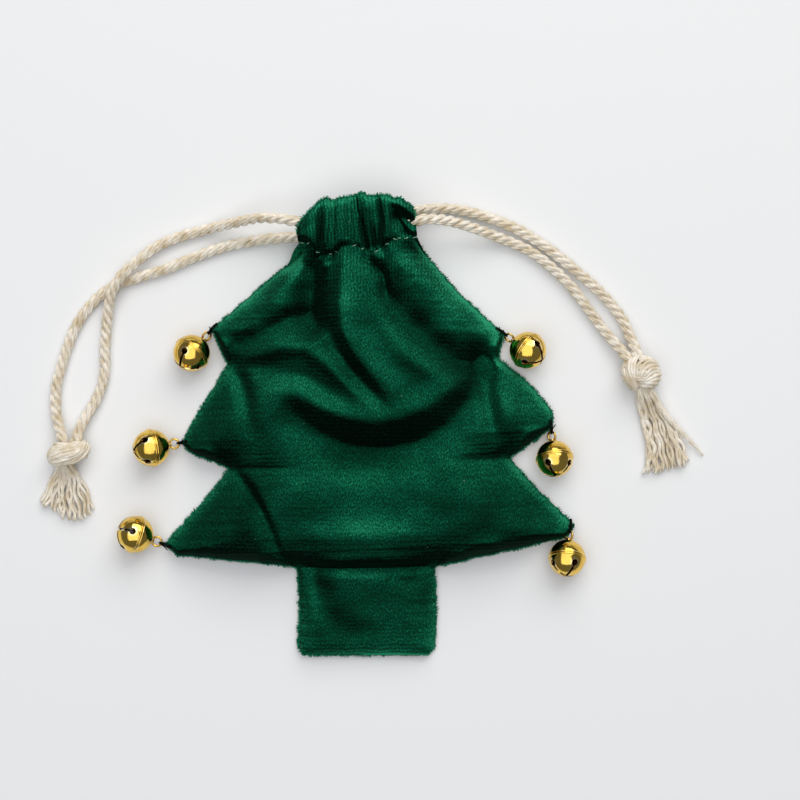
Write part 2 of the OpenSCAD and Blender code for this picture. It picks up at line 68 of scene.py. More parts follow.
def new_material(name, colour, roughness, **sockets):
    """A material with its node tree and its Principled shader, with the shader's own values set."""
    material = bpy.data.materials.new(name)
    material.use_nodes = True
    shader = material.node_tree.nodes["Principled BSDF"]
    shader.inputs["Base Color"].default_value = linear(colour)
    shader.inputs["Roughness"].default_value = roughness
    for socket, value in sockets.items():
        value = linear(value) if isinstance(value, str) else value
        shader.inputs[socket.replace("_", " ")].default_value = value
    return material, material.node_tree, shader


def feed(node, inputs):
    """Give each input its value, or link it to a node's first output or to a (node, output name) pair."""
    for socket, value in inputs.items():
        value = (value, 0) if isinstance(value, bpy.types.Node) else value
        if isinstance(value, tuple) and isinstance(value[0], bpy.types.Node):
            node.id_data.links.new(value[0].outputs[value[1]], node.inputs[socket])
        else:
            node.inputs[socket].default_value = value


def add(tree, kind, inputs=None, stops=None, **settings):
    """A shader node with its settings, its inputs and, on a colour ramp, its stops from low to high."""
    made = tree.nodes.new("ShaderNode" + kind)
    for key, value in settings.items():
        setattr(made, key, value)
    if stops:
        (low, dark), *between, (high, light) = stops.items()
        first, last = made.color_ramp.elements
        first.position, first.color = low, linear(dark)
        last.position, last.color = high, linear(light)
        for place, colour in between:
            made.color_ramp.elements.new(place).color = linear(colour)
    feed(made, inputs or {})
    return made


def new_piece(name, points, faces, material, uv=None, smooth=True):
    """A mesh object from points and a UV for each in metres, and faces of three or four corners."""
    flat = [np.asarray(f, np.int32) for f in (faces if isinstance(faces, list) else [faces])]
    loops = np.concatenate([f.ravel() for f in flat])
    sizes = np.concatenate([np.full(len(f), f.shape[1]) for f in flat])
    mesh = bpy.data.meshes.new(name)
    mesh.vertices.add(len(points))
    mesh.vertices.foreach_set("co", np.asarray(points, np.float32).ravel())
    mesh.loops.add(len(loops))
    mesh.loops.foreach_set("vertex_index", loops)
    mesh.polygons.add(len(sizes))
    mesh.polygons.foreach_set("loop_start", np.concatenate([[0], np.cumsum(sizes)[:-1]]).astype(np.int32))
    mesh.update(calc_edges=True)
    mesh.polygons.foreach_set("use_smooth", [smooth] * len(sizes))
    if uv is not None:
        mesh.uv_layers.new(name="cut").data.foreach_set("uv", np.asarray(uv, np.float32)[loops].ravel())
    mesh.materials.append(material)
    made = bpy.data.objects.new(name, mesh)
    bpy.context.scene.collection.objects.link(made)
    return made


def area_light(name, place, size, watts, colour):
    """A rectangular light that faces the pouch."""
    data = bpy.data.lights.new(name, "AREA")
    data.shape = "RECTANGLE"
    data.size, data.size_y = size
    data.energy = watts
    data.color = linear(colour)[:3]
    made = bpy.data.objects.new(name, data)
    made.location = place
    made.rotation_euler = (-Vector(place)).to_track_quat("-Z", "Y").to_euler()
    bpy.context.scene.collection.objects.link(made)


card, _, _ = new_material("white_card", "#eeeff0", 0.95)
TABLE_HALF = 1.6
table_corners = [(x * TABLE_HALF, y * TABLE_HALF, 0) for x, y in ((-1, -1), (1, -1), (1, 1), (-1, 1))]
table = new_piece("table", table_corners, np.array([(0, 1, 2, 3)]), card, smooth=False)
area_light("window", (0.3, 1.0, 0.85), (1.3, 0.9), 11.6, "#fffdf9")
area_light("overhead", (-0.12, 0.0, 1.0), (1.5, 1.3), 8.0, "#fdfdff")
room = bpy.data.worlds.new("room")
bpy.context.scene.world = room
room.use_nodes = True
feed(room.node_tree.nodes["Background"], {"Color": linear("#e2e5e8"), "Strength": 0.2})

# ---- Drawstrings ----
# Each is one length of 3 mm cotton cord, laid to the left from three plies of four soft yarns. It goes
# through the casing and back, and both ends come out on one side, where they are knotted together.

PLIES, PLY_YARNS = 3, 4
LAY = 8.0 * MM
PLY_AT, YARN_AT = 0.78 * MM, 0.39 * MM
YARN_D = 0.78 * MM
YARN_SIDES = 7
YARN_SHIFT = 7 * MM  # between the fibre patterns of neighbouring yarns
RING_STEP = 0.45 * MM

ROUTES = {
    "left_over": [(-11.8, 53.9, 10.4), (-15.6, 54.6, 11.2), (-20, 55.2, 11), (-25, 55.4, 9), (-32, 54.4, 5),
        (-39, 53, 2.2), (-46, 51.2, 1.7), (-52.4, 48.6, 2.2), (-57.4, 44.8, 3.4), (-62.2, 40.2, 4.8),
        (-65.2, 34.6, 3.6), (-66.4, 28, 1.9), (-67, 21, 1.5), (-67.2, 14, 1.5), (-69, 7.6, 1.6),
        (-72.2, 2, 2.2), (-73.9, -1.6, 3), (-74.9, -5.6, 4.2)],
    "left_under": [(-12.4, 50.9, 2.7), (-20, 50.6, 2.4), (-27, 49.8, 1.7), (-35, 48.2, 1.5), (-43, 45.4, 1.5),
        (-50.6, 42.2, 1.5), (-58, 40, 1.5), (-65.4, 37.2, 1.5), (-71.4, 32, 1.5), (-75.6, 25.2, 1.5),
        (-78.2, 18, 1.5), (-80.2, 10.6, 1.5), (-80.4, 4, 1.8), (-79.3, -0.6, 2.6), (-77.9, -5.2, 4)],
    "right_over": [(13.4, 53.8, 10.4), (17.4, 54.5, 11.4), (21.4, 55, 11.2), (28, 54.4, 8), (35, 52.4, 4.4),
        (42, 50, 1.9), (48.6, 47, 1.5), (54.4, 42.6, 1.5), (59.4, 37.8, 1.5), (63.8, 32, 1.5),
        (68, 26.3, 1.6), (72, 21.4, 2.6), (74.2, 18.6, 3.6), (76.2, 15.2, 4.4)],
    "right_under": [(13.6, 57.5, 2.7), (21.6, 58.5, 2.4), (28.4, 58.4, 1.7), (35.6, 56.8, 1.5), (43, 54, 1.5),
        (50.2, 50, 1.5), (56.8, 45.2, 1.5), (63, 40, 1.5), (69, 34.4, 1.5), (73.6, 28.4, 1.6),
        (76, 22.8, 2.6), (77.2, 19.4, 3.8), (78.2, 15.6, 4.6)],
}

# Soft-spun cotton is matt and full of air: nearly white on the crown of each yarn, straw-coloured in the
# grooves, with a faint halo of loose fibre. Its fibres show as fine streaks along the yarn.
cotton, cotton_tree, cotton_shader = new_material("spun_cotton", "#f4ecdd", 0.95, Specular_IOR_Level=0.15,
                                                  Sheen_Weight=0.2, Sheen_Roughness=0.5)
FIBRE_STREAK = (1 / (1.4 * MM), 1 / (0.16 * MM), 1)
cotton_at = add(cotton_tree, "TexCoord")
cotton_stretch = add(cotton_tree, "Mapping", {"Vector": (cotton_at, "UV"), "Scale": FIBRE_STREAK})
cotton_streak = add(cotton_tree, "TexNoise", {"Vector": cotton_stretch, "Scale": 1.0, "Detail": 3.0})
cotton_cloud = add(cotton_tree, "TexNoise", {"Vector": (cotton_at, "Object"), "Scale": 300.0, "Detail": 2.0})
cotton_both = add(cotton_tree, "Math", {0: cotton_streak, 1: cotton_cloud}, operation="MULTIPLY")
cotton_ramp = add(cotton_tree, "ValToRGB", {"Fac": cotton_both}, stops={0.14: "#d2c1a1", 0.36: "#f9f3e8"})
cotton_bump = add(cotton_tree, "Bump", {"Height": cotton_streak, "Strength": 0.6, "Distance": 0.1 * MM})
feed(cotton_shader, {"Base Color": cotton_ramp, "Normal": cotton_bump})


def run_of(line):
    """The distance along a line to each of its points."""
    return np.concatenate([[0], np.cumsum(np.linalg.norm(np.diff(line, axis=0), axis=1))])


def along(points, step):
    """A smooth curve through points given in mm, at an even step, in metres, and the run to each point."""
    p = np.asarray(points, float) * MM
    p = np.vstack([2 * p[0] - p[1], p, 2 * p[-1] - p[-2]])
    t = np.linspace(0, 1, 24, endpoint=False)[:, None]
    fine = [0.5 * (2 * b + (c - a) * t + (2 * a - 5 * b + 4 * c - d) * t ** 2
                   + (3 * b - a - 3 * c + d) * t ** 3)
            for a, b, c, d in zip(p[:-3], p[1:-2], p[2:-1], p[3:])]
    fine = np.vstack(fine + [p[-2:-1]])
    run = run_of(fine)
    even = np.linspace(0, run[-1], max(3, int(round(run[-1] / step)) + 1))
    return np.column_stack([np.interp(even, run, axis) for axis in fine.T]), even


def sideways(path):
    """Two directions square to a path, the first of them up, that turn as little as they can along it."""
    tangent = np.gradient(path, axis=0)
    tangent /= np.linalg.norm(tangent, axis=1)[:, None]
    a = np.empty_like(path)
    last = np.array([0.0, 0.0, 1.0])
    for i, t in enumerate(tangent):
        last = last - (last @ t) * t
        last /= np.linalg.norm(last)
        a[i] = last
    return a, np.cross(tangent, a)


def yarn_piece(name, yarns, thickness, material, sides=YARN_SIDES):
    """One mesh of closed tubes along yarn paths; thickness is one diameter or one array for each yarn."""
    points, quads, tris, uvs, start = [], [], [], [], 0
    turn = np.arange(sides) * 2 * math.pi / sides
    k = np.arange(sides)
    for index, path in enumerate(yarns):
        a, b = sideways(path)
        r = np.broadcast_to(thickness[index] if isinstance(thickness, list) else thickness, len(path)) / 2
        ring = np.cos(turn)[None, :, None] * a[:, None] + np.sin(turn)[None, :, None] * b[:, None]
        points += [(path[:, None] + r[:, None, None] * ring).reshape(-1, 3), path[[0, -1]]]
        run = run_of(path) + index * YARN_SHIFT
        uv = np.stack(np.broadcast_arrays(run[:, None], (turn * YARN_D / 2)[None, :]), -1).reshape(-1, 2)
        uvs += [uv, uv[[0, -1]]]
        m = len(path)
        i, j = np.meshgrid(np.arange(m - 1), k, indexing="ij")
        p, q = i * sides + j, i * sides + (j + 1) % sides
        quads.append(start + np.stack([p, q, q + sides, p + sides], -1).reshape(-1, 4))
        last = (m - 1) * sides
        centre = k * 0 + m * sides
        caps = [[centre, (k + 1) % sides, k], [centre + 1, last + k, last + (k + 1) % sides]]
        tris.append(start + np.vstack([np.stack(cap, -1) for cap in caps]))
        start += m * sides + 2
    return new_piece(name, np.vstack(points), [np.vstack(quads), np.vstack(tris)], material, np.vstack(uvs))


def laid(path, run, start=0.0):
    """The yarn paths of a laid cord along a path, turned at its start by a share of a turn."""
    a, b = sideways(path)
    found = []
    for ply in range(PLIES):
        turn = 2 * math.pi * (ply / PLIES + start - run / LAY)
        for yarn in range(PLY_YARNS):
            spin = 2 * math.pi * yarn / PLY_YARNS - turn * 0.25
            found.append(path + (PLY_AT * np.cos(turn) + YARN_AT * np.cos(spin))[:, None] * a
                         + (PLY_AT * np.sin(turn) + YARN_AT * np.sin(spin))[:, None] * b)
    return found


def slubs(run, random, amount=0.12, every=4 * MM):
    """A yarn's thickness along its run, which is never quite even."""
    knots = np.arange(0, run[-1] + every, every)
    return YARN_D * (1 + amount * np.interp(run, knots, random.uniform(-1, 1, len(knots))))


yarn_random = np.random.default_rng(11)
strands = {}
for name, route in ROUTES.items():
    path, run = along(route, RING_STEP)
    yarns = laid(path, run, start=0.1 * len(strands))
    strand = yarn_piece(name + "_strand", yarns, [slubs(run, yarn_random) for _ in yarns], cotton)
    strands[name] = (strand, path, run)

# Inside the neck each drawstring runs through the front casing, turns back at the far end and returns
# through the back casing. The casings lie tilted a little on the table.
NECK_AT, NECK_TILT = np.array([1.9, 48.0]), math.radians(6)
LOWER_LANE, UPPER_LANE, FRONT_Z, BACK_Z = 4.5, 7.9, 10.4, 2.7
TURN_U, TURN_R = 9.1, 4.9


def on_neck(u, v):
    """A place in mm on the table, u along the casing from its middle and v above its stitch line."""
    c, s = math.cos(NECK_TILT), math.sin(NECK_TILT)
    return np.stack(np.broadcast_arrays(NECK_AT[0] + u * c - v * s, NECK_AT[1] + u * s + v * c), -1)


LANES = (("left", 1, UPPER_LANE, LOWER_LANE), ("right", -1, LOWER_LANE, UPPER_LANE))
for side, sign, front_v, back_v in LANES:
    lane = [(u, front_v, FRONT_Z) for u in (-13.2, -10, -3, 4)]
    for angle in np.radians(np.arange(0, 181, 30)):
        share = (1 + math.cos(angle)) / 2
        lane.append((TURN_U + TURN_R * math.sin(angle), back_v + (front_v - back_v) * share,
                     BACK_Z + (FRONT_Z - BACK_Z) * share))
    lane += [(u, back_v, BACK_Z) for u in (4, -3, -10, -13.4)]
    path, run = along([(*on_neck(sign * u, v), z) for u, v, z in lane], 0.7 * MM)
    turned = yarn_piece(side + "_strand_in_neck", laid(path, run), YARN_D, cotton)
    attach(turned, side + "_drawstring")
    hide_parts(side + "_cord")

# ---- Knots ----
# Both ends of a drawstring are tied together in one overhand knot, drawn tight. The doubled cord wraps
# over itself, opens to flat bands of yarn and hides where the strands go in.

WRAP_D = 0.98 * MM
WRAP_WANDER = 0.13


def unit(v):
    """Directions made one long."""
    v = np.asarray(v, float)
    return v / np.linalg.norm(v, axis=-1, keepdims=True)


def rows_between(guides, count, samples=60):
    """Evenly spread lines between guide lines given in mm, as arrays of points in mm."""
    lines = []
    for guide in guides:
        path, run = along(guide, 0.2 * MM)
        t = np.linspace(0, run[-1], samples)
        lines.append(np.column_stack([np.interp(t, run, axis) for axis in path.T]) / MM)
    lines = np.array(lines)
    at = np.linspace(0, len(guides) - 1, count)
    low = np.minimum(at.astype(int), len(guides) - 2)
    share = (at - low)[:, None, None]
    return lines[low] * (1 - share) + lines[low + 1] * share


def on_ball(centre, radii, tilt, line):
    """Points over a tilted ball for (x, y, lift) from its middle; past its outline they lie underneath."""
    radii, c, s = np.asarray(radii), math.cos(math.radians(tilt)), math.sin(math.radians(tilt))
    to_ball = np.array([[c, -s], [s, c]])
    flat = line[:, :2] @ to_ball
    r = np.hypot(*(flat / radii[:2]).T)
    under = r > 1
    near = np.where(under, np.maximum(0.05, 2 - r), r)
    height = np.sqrt(1 - np.minimum(near, 1) ** 2) * np.where(under, -1, 1)
    place = np.column_stack([flat * (near / np.maximum(r, 1e-6))[:, None], height * radii[2]])
    place += unit(place / radii ** 2) * line[:, 2:]
    place[:, :2] = place[:, :2] @ to_ball.T
    return (np.asarray(centre) + place) * MM


# Each knot is its middle, its radii, its tilt in degrees, then its bands as (guide lines from the middle,
# how many yarns).
KNOTS = {
    "left": ((-76.6, -7.7, 4.05), (5.6, 3.6, 3.5), 16, [([[(-5.6, -0.4, -0.4), (-5, 1.2, -0.1),
        (-3.6, 2.3, 0.1), (-1.4, 2.5, 0.2), (1, 2.5, 0.1), (2.6, 3, -0.3), (3.2, 3.3, -1.4)],
        [(-5.6, -2, -0.2), (-4.2, -1.4, 0.2), (-2, -0.7, 0.4), (0.6, -0.1, 0.5), (2.8, 0.9, 0.4),
        (3.7, 2.4, 0.2), (3.5, 3.6, -0.8)], [(-5.2, -3.4, -0.4), (-3.4, -3.1, 0), (-0.8, -2.8, 0.1),
        (1.8, -2.3, 0.2), (4.2, -0.7, 0.2), (5.3, 1.6, 0.1), (4.8, 3.7, 0), (3.4, 4.4, -0.7)]], 9),
        ([[(-5.9, -1.2, -0.6), (-5.3, 1.4, -0.3), (-3.7, 3.1, -0.3), (-0.8, 3.7, -0.7)], [(-5, 0, -0.7),
        (-4.3, 1.7, -0.5), (-2.8, 2.7, -0.4), (-0.4, 3.1, -0.6)]], 3), ([[(-4.4, -0.9, -0.6),
        (-5.3, -1.8, -0.2), (-5.3, -3, -0.1), (-4.2, -3.9, -0.5)], [(-6.3, 0.2, -0.5), (-6.8, -1.6, -0.2),
        (-6.4, -3, -0.2), (-5.2, -4.2, -0.6)]], 3), ([[(-7.6, 0.3, 0), (-9.6, 1.4, 0), (9.8, 2, 0),
        (7.2, 1.6, 0)], [(-7.4, -1.6, 0), (-9.4, -1, 0), (9.6, -0.8, 0), (7, -1, 0)]], 5)]),
    "right": ((78.1, 13.9, 4.1), (5, 4.9, 3.5), 0, [([[(-4.4, 4.1, -0.6), (-5, 1.4, -0.1), (-4.1, -1.6, 0.1),
        (-2.8, -3.9, 0), (-1.5, -5.3, -0.4)], [(-2.2, 5.4, -0.6), (-3.4, 2.2, 0), (-3.3, -0.8, 0.2),
        (-2.1, -3.3, 0.1), (-1.2, -5, -0.4)], [(0.6, 5.6, -0.5), (-0.9, 4.3, 0.1), (-1.9, 2.1, 0.2),
        (-1.9, -1, 0.2), (-1.2, -3.4, -0.2), (-0.9, -4.6, -0.8)]], 6), ([[(0.2, 5.6, -0.4), (2.2, 4.5, 0),
        (4, 2.7, 0), (5.6, 0.9, -0.1)], [(-0.4, 4, -0.2), (1.8, 3.4, 0.1), (3.6, 1.8, 0), (4.8, 0.6, -0.2)]],
        3), ([[(-0.9, -3, -0.9), (-1.5, -0.4, 0.2), (-0.8, 2.3, 0.5), (1, 3.5, 0.4), (3.2, 3.5, 0),
        (5.4, 3.6, -0.2)], [(-0.8, -2.9, -0.9), (0.4, -0.6, 0.4), (2, 1.4, 0.6), (3.8, 1.6, 0.4),
        (5.2, 1, 0.1), (6.6, 0.8, 0)], [(-0.7, -2.8, -0.9), (1.7, -1.5, 0.4), (3.9, -0.5, 0.4),
        (5.3, -0.6, 0.2), (6.6, -1.2, 0)], [(-0.6, -3.1, -0.9), (1.6, -2.9, 0.3), (3.6, -3, 0.3),
        (4.7, -3.6, 0.1), (5.4, -4.6, 0)], [(-0.5, -3.5, -0.9), (1.3, -4, 0), (3, -4.6, 0.1),
        (4.2, -5.4, -0.1)]], 11), ([[(-7.6, 3, 0), (-9.2, 1.6, 0), (9.4, 2.6, 0), (7.6, 2.4, 0)],
        [(-7.6, -1, 0), (-9.2, -1.6, 0), (9.4, -2, 0), (7.4, -1.6, 0)]], 6)]),
}
# The hidden inside of each knot, as thick twists from one place to another.
CORES = {
    "left": [((-80.8, -8.9, 3.9), (-72.4, -6.4, 4), 5.8)],
    "right": [((75.6, 17.4, 3.8), (76.4, 10.2, 3.8), 5), ((79.9, 17.2, 3.8), (80.4, 10.4, 3.8), 5.2),
        ((75.2, 14, 3.8), (81.6, 13.8, 3.8), 5.4)],
}
BODIES = {"left": "left_drawstring", "right": "right_drawstring"}
knots = {}
for side, (centre, radii, tilt, bands) in KNOTS.items():
    wraps, sizes = [], []
    for guides, count in bands:
        for line in rows_between(guides, count):
            run = np.linspace(0, 1, len(line))[:, None]
            waves = run * yarn_random.uniform(0.8, 2.2, 3) + yarn_random.uniform(size=3)
            wander = WRAP_WANDER * np.sin(2 * math.pi * waves)
            wraps.append(on_ball(centre, radii, tilt, line + wander))
            sizes.append(WRAP_D * yarn_random.uniform(0.84, 1.12))
    for start, end, thick in CORES[side]:
        t = np.linspace(-1, 1, 24)
        start, end = np.array(start), np.array(end)
        wraps.append((start + (end - start) * (t[:, None] + 1) / 2) * MM)
        sizes.append(thick * MM * np.sqrt(np.maximum(0.02, 1 - t ** 4)))
    knots[side] = yarn_piece(side + "_knot_wraps", wraps, sizes, cotton, sides=9)
    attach(knots[side], BODIES[side])
    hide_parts(side + "_knot")

# ---- Tassels ----
# Past each knot the plies are left to untwist. Their yarns lie side by side and over each other on the
# table, still a little crimped by the lay of the cord, and are cut off unevenly.

CRIMP, TASSEL_YARN_D = 6.4, 0.86
TASSELS = {
    "left": ([[(-78.9, -8.6), (-79.7, -11), (-81.8, -14.6), (-83.7, -18.5), (-85, -21.6)], [(-78.5, -8.6),
        (-78.9, -11.2), (-79.6, -14.8), (-81.2, -18.6), (-82.8, -23)], [(-78, -8.6), (-78.2, -11.2),
        (-78.3, -15), (-78.7, -19.8), (-78.8, -25.9)], [(-77.4, -8.6), (-77.2, -11), (-75.9, -15.6),
        (-75.6, -20.8), (-74, -27)], [(-76.9, -8.6), (-76.1, -10.8), (-73.8, -15), (-71.5, -19.8),
        (-70.2, -24.4)]], (0, 1.3)),
    "right": ([[(77, 11), (77.1, 7.9), (78.3, 1.6), (79.8, -4.2), (80, -9.8), (78.8, -13.8)], [(77.8, 11.2),
        (78.2, 8.2), (79.8, 2.8), (81.5, -4.7), (82.3, -9.8), (82.4, -14.2)], [(78.6, 11.2), (79.4, 8.4),
        (82, 2.8), (84.1, -3.4), (85.6, -8.5), (86.3, -12.6)], [(79.4, 11.2), (80.6, 8.6), (84.1, 2.8),
        (87.1, -3.4), (88.8, -8.5), (89.6, -12.5)], [(80, 11.2), (81.6, 8.6), (85.3, 2.8), (88.3, -2.2),
        (90.4, -7.2), (91.8, -11.4)]], (0, 1.6)),
}
# One ply strays from the right tassel, still twisted to a point.
STRAY_PLY = [(81, 9.6, 3.6), (83.4, 5, 2.9), (86.4, 1.2, 2.4), (90.2, -2.8, 1.7), (93.2, -5.8, 1.1),
             (95.6, -8.4, 0.5)]
STRAY_LAY, STRAY_YARNS = 9 * MM, 4


def eased(t):
    """From 0 to 1 with a soft start and a soft end."""
    t = np.clip(t, 0, 1)
    return t * t * (3 - 2 * t)


def tassel_yarns(guides, cut, random, count=25):
    """Yarns between the guides, in two loose layers, crimped and cut back by up to the given mm."""
    found = []
    lines = rows_between([[(x, y, 0) for x, y in guide] for guide in guides], count, 70)
    for k, line in enumerate(lines):
        run = run_of(line)
        keep = run <= run[-1] - random.uniform(*cut)
        line, run = line[keep], run[keep]
        out = unit(np.gradient(line, axis=0)) @ np.array([[0, 1, 0], [-1, 0, 0], [0, 0, 0]])
        crimp = np.clip(run / 7 - 0.3, 0, 1) * random.uniform(0.18, 0.42)
        waves = run / CRIMP / random.uniform(0.8, 1.25) + random.uniform()
        line = line + out * (crimp * np.sin(2 * math.pi * waves) + random.uniform(-0.3, 0.3))[:, None]
        settled = eased(run / (0.5 * run[-1]))
        layer = 0.5 + 0.9 * (k % 2) + 0.35 * random.uniform(0, 1)
        root = 2.3 + 2.6 * (k % 3) / 2
        lift = 0.22 * np.abs(np.cos(2 * math.pi * waves)) * crimp / 0.3
        line[:, 2] = root * (1 - settled) + layer * settled + lift * settled
        found.append(line * MM)
    return found


tassels = {}
for side, facts in TASSELS.items():
    yarns = tassel_yarns(*facts, yarn_random)
    ends = [np.clip((1.02 - np.linspace(0, 1, len(y))) / 0.06, 0.55, 1) * TASSEL_YARN_D * MM
            * yarn_random.uniform(0.86, 1.12) for y in yarns]
    if side == "right":
        stray, run = along(STRAY_PLY, 0.4 * MM)
        a, b = sideways(stray)
        share = np.linspace(0, 1, len(stray))
        for k in range(STRAY_YARNS):
            turn = 2 * math.pi * (k / STRAY_YARNS + run / STRAY_LAY)
            reach = (0.52 - 0.44 * share ** 2) * MM
            yarns.append(stray + (reach * np.cos(turn))[:, None] * a * 0.7
                         + (reach * np.sin(turn))[:, None] * b)
            ends.append(YARN_D * (1.05 - 0.75 * share ** 3))
    tassels[side] = yarn_piece(side + "_tassel_yarns", yarns, ends, cotton, sides=8)
    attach(tassels[side], BODIES[side])
    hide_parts(side + "_tassel")

for name, (strand, path, run) in strands.items():
    side = name.split("_")[0]
    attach(strand, BODIES[side])
    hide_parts(side + "_cord")

# ---- Tree outline ----
# Front and back are cut alike, as a fir tree with three tiers and a trunk, sewn together face to face and
# turned out. The seam leaves a full, slightly puckered edge with blunt tips.

LEVELS = {
    "neck": ((-13.3, 46.4), (17.5, 49.6)),
    "top_tips": ((-38, 25.7), (41, 24.9)),
    "top_notches": ((-33.55, 16.2), (39.75, 17.6)),
    "middle_tips": ((-46, -4.8), (54.8, 2.6)),
    "middle_corners": ((-44.5, -7.2), (54.1, -1)),
    "middle_notches": ((-33, -11.9), (42.6, -9.1)),
    "bottom_tips": ((-50.8, -32.5), (60.4, -27.5)),
    "bottom_corners": ((-47.4, -35.3), (58.4, -30.5)),
    "trunk_tops": ((-14.7, -38.6), (22.3, -38.6)),
    "trunk_ends": ((-14.7, -61), (22.3, -61)),
    "trunk_feet": ((-13.2, -62.5), (20.8, -62.5)),
}
BOWS = [(-0.3, -1.2), (0, 0), (-0.3, 1.1), (0, 0), (0, 0), (0.4, -0.4), (0, 0), (0, 0), (0.5, 0.5),
    (0.5, -0.5)]
EDGE_STEP = 0.46
COURSE = 1.1
TO_LEFT = np.array([[0, 1], [-1, 0]])  # turns a direction a quarter turn to its left
seam_random = np.random.default_rng(23)


def edge_points(side):
    """One side of the outline in mm from the neck down, with the seam's small puckers."""
    corners, others = (np.array([both[k] for both in LEVELS.values()], float) for k in (side, 1 - side))
    longest = np.maximum(*(np.linalg.norm(np.diff(line, axis=0), axis=1) for line in (corners, others)))
    found = []
    for a, b, length, bow in zip(corners[:-1], corners[1:], longest, BOWS):
        count = max(2, int(math.ceil(length / EDGE_STEP)))
        t = np.arange(count)[:, None] / count
        found.append(a + (b - a) * t + unit(b - a) @ TO_LEFT * bow[side] * np.sin(math.pi * t))
    return np.vstack(found + [corners[-1][None]])


def rounded(line, passes=3):
    """Corners eased by averaging neighbours, as turned cloth does; both ends stay."""
    for _ in range(passes):
        line = np.vstack([line[:1], (line[:-2] + 2 * line[1:-1] + line[2:]) / 4, line[-1:]])
    return line


def puckered(line, random, amount=0.2):
    """The edge pushed in and out a little at every few courses."""
    run = run_of(line)
    knots = np.arange(0, run[-1] + COURSE, COURSE)
    push = np.interp(run, knots, random.uniform(-1, 1, len(knots))) * amount
    out = unit(np.gradient(line, axis=0)) @ TO_LEFT
    fade = np.clip(np.minimum(run, run[-1] - run) / 2, 0, 1)
    return line + out * (push * fade)[:, None]


LEFT_EDGE = puckered(rounded(edge_points(0)), seam_random)
RIGHT_EDGE = puckered(rounded(edge_points(1)), seam_random)
OUTLINE = np.vstack([LEFT_EDGE, RIGHT_EDGE[::-1]])

# Under each tier the filled cloth bulges close to the seam, so it climbs this much faster from there.
UNDERSIDE_CLIMB = 2.7
TRUNK_TOP_Y = LEVELS["trunk_tops"][0][1]


def from_edge(x, y, outline=OUTLINE[::2]):
    """Distance in mm to the sewn edge, and the same with the undersides of the tiers counted as further."""
    best, climb = np.full(x.shape, 1e9), np.full(x.shape, 1e9)
    for (ax, ay), (bx, by) in zip(outline[:-1], outline[1:]):
        dx, dy = bx - ax, by - ay
        t = np.clip(((x - ax) * dx + (y - ay) * dy) / max(dx * dx + dy * dy, 1e-9), 0, 1)
        d = (x - ax - t * dx) ** 2 + (y - ay - t * dy) ** 2
        best = np.minimum(best, d)
        under = dx > 0 and min(ay, by) > TRUNK_TOP_Y - 0.5
        climb = np.minimum(climb, d * (UNDERSIDE_CLIMB ** 2 if under else 1))
    return np.sqrt(best), np.sqrt(climb)


# ---- Front cloth ----
# The front is one sheet of velour, filled out from behind. It hangs in deep folds from the gathered neck,
# slumps in a crescent across the middle and drops steeply to the flatter trunk.

BACK_T, SEAM_H = 1.2, 1.4
NECK_LINE = [(-13.3, 48.9, 12.4), (-11.4, 48.4, 14.3), (-9.6, 46.6, 13.8), (-7.9, 45.4, 11),
    (-6.3, 45.2, 13.6), (-4.6, 45.2, 13.8), (-3.9, 46, 12.8), (-2.6, 47.2, 15), (0.2, 47.7, 15.4),
    (3, 46.8, 14.6), (4.3, 45.9, 12.8), (6.2, 46, 13.8), (8.1, 47.3, 13.2), (9.8, 48.1, 14.8),
    (12.6, 49.6, 15.2), (15.2, 49.7, 14.4), (17.5, 50.4, 12.8)]


def neck_v(x, y):
    """How far a place lies above the middle of the stitch line, in mm."""
    return -(x - NECK_AT[0]) * math.sin(NECK_TILT) + (y - NECK_AT[1]) * math.cos(NECK_TILT)


EDGE_ROLL, ROLL_WITHIN = 1.5, 1.8


def box_mean(z, size, axis):
    """Running means along one axis, with the ends held."""
    z = np.moveaxis(z, axis, 0)
    padded = np.concatenate([np.repeat(z[:1], size, 0), z, np.repeat(z[-1:], size, 0)])
    sums = np.cumsum(np.concatenate([0 * padded[:1], padded]), axis=0)
    return np.moveaxis((sums[2 * size + 1:] - sums[:-2 * size - 1]) / (2 * size + 1), 0, axis)


def relaxed(z, d, rows, columns):
    """The filled shape without the creases that run in from its corners; its edge stays."""
    soft = z
    for _ in range(3):
        soft = box_mean(box_mean(soft, rows, 0), columns, 1)
    keep = eased((d - 0.6) / 4.5)
    return z * (1 - keep) + soft * keep


def filled(x, y, d):
    """The height of the filled front without its folds."""
    v = neck_v(x, y)
    fill = np.interp(v, [-111.0, -99.0, -88.0, -84.5, -66.0, -44.0, -20.0, 0.0],
                     [5.2, 7.2, 7.6, 11.0, 13.6, 14.6, 14.4, 13.2])
    slope = np.interp(v, [-111, -88, -84, -66, -24, -8, 0], [7, 10, 13, 20, 20, 11, 6])
    rise = np.sin(math.pi / 2 * np.clip(d / slope, 0, 1)) ** 1.3
    roll = EDGE_ROLL * (1 - np.exp(-d / ROLL_WITHIN))
    return BACK_T + SEAM_H + (fill - SEAM_H - EDGE_ROLL) * rise + roll


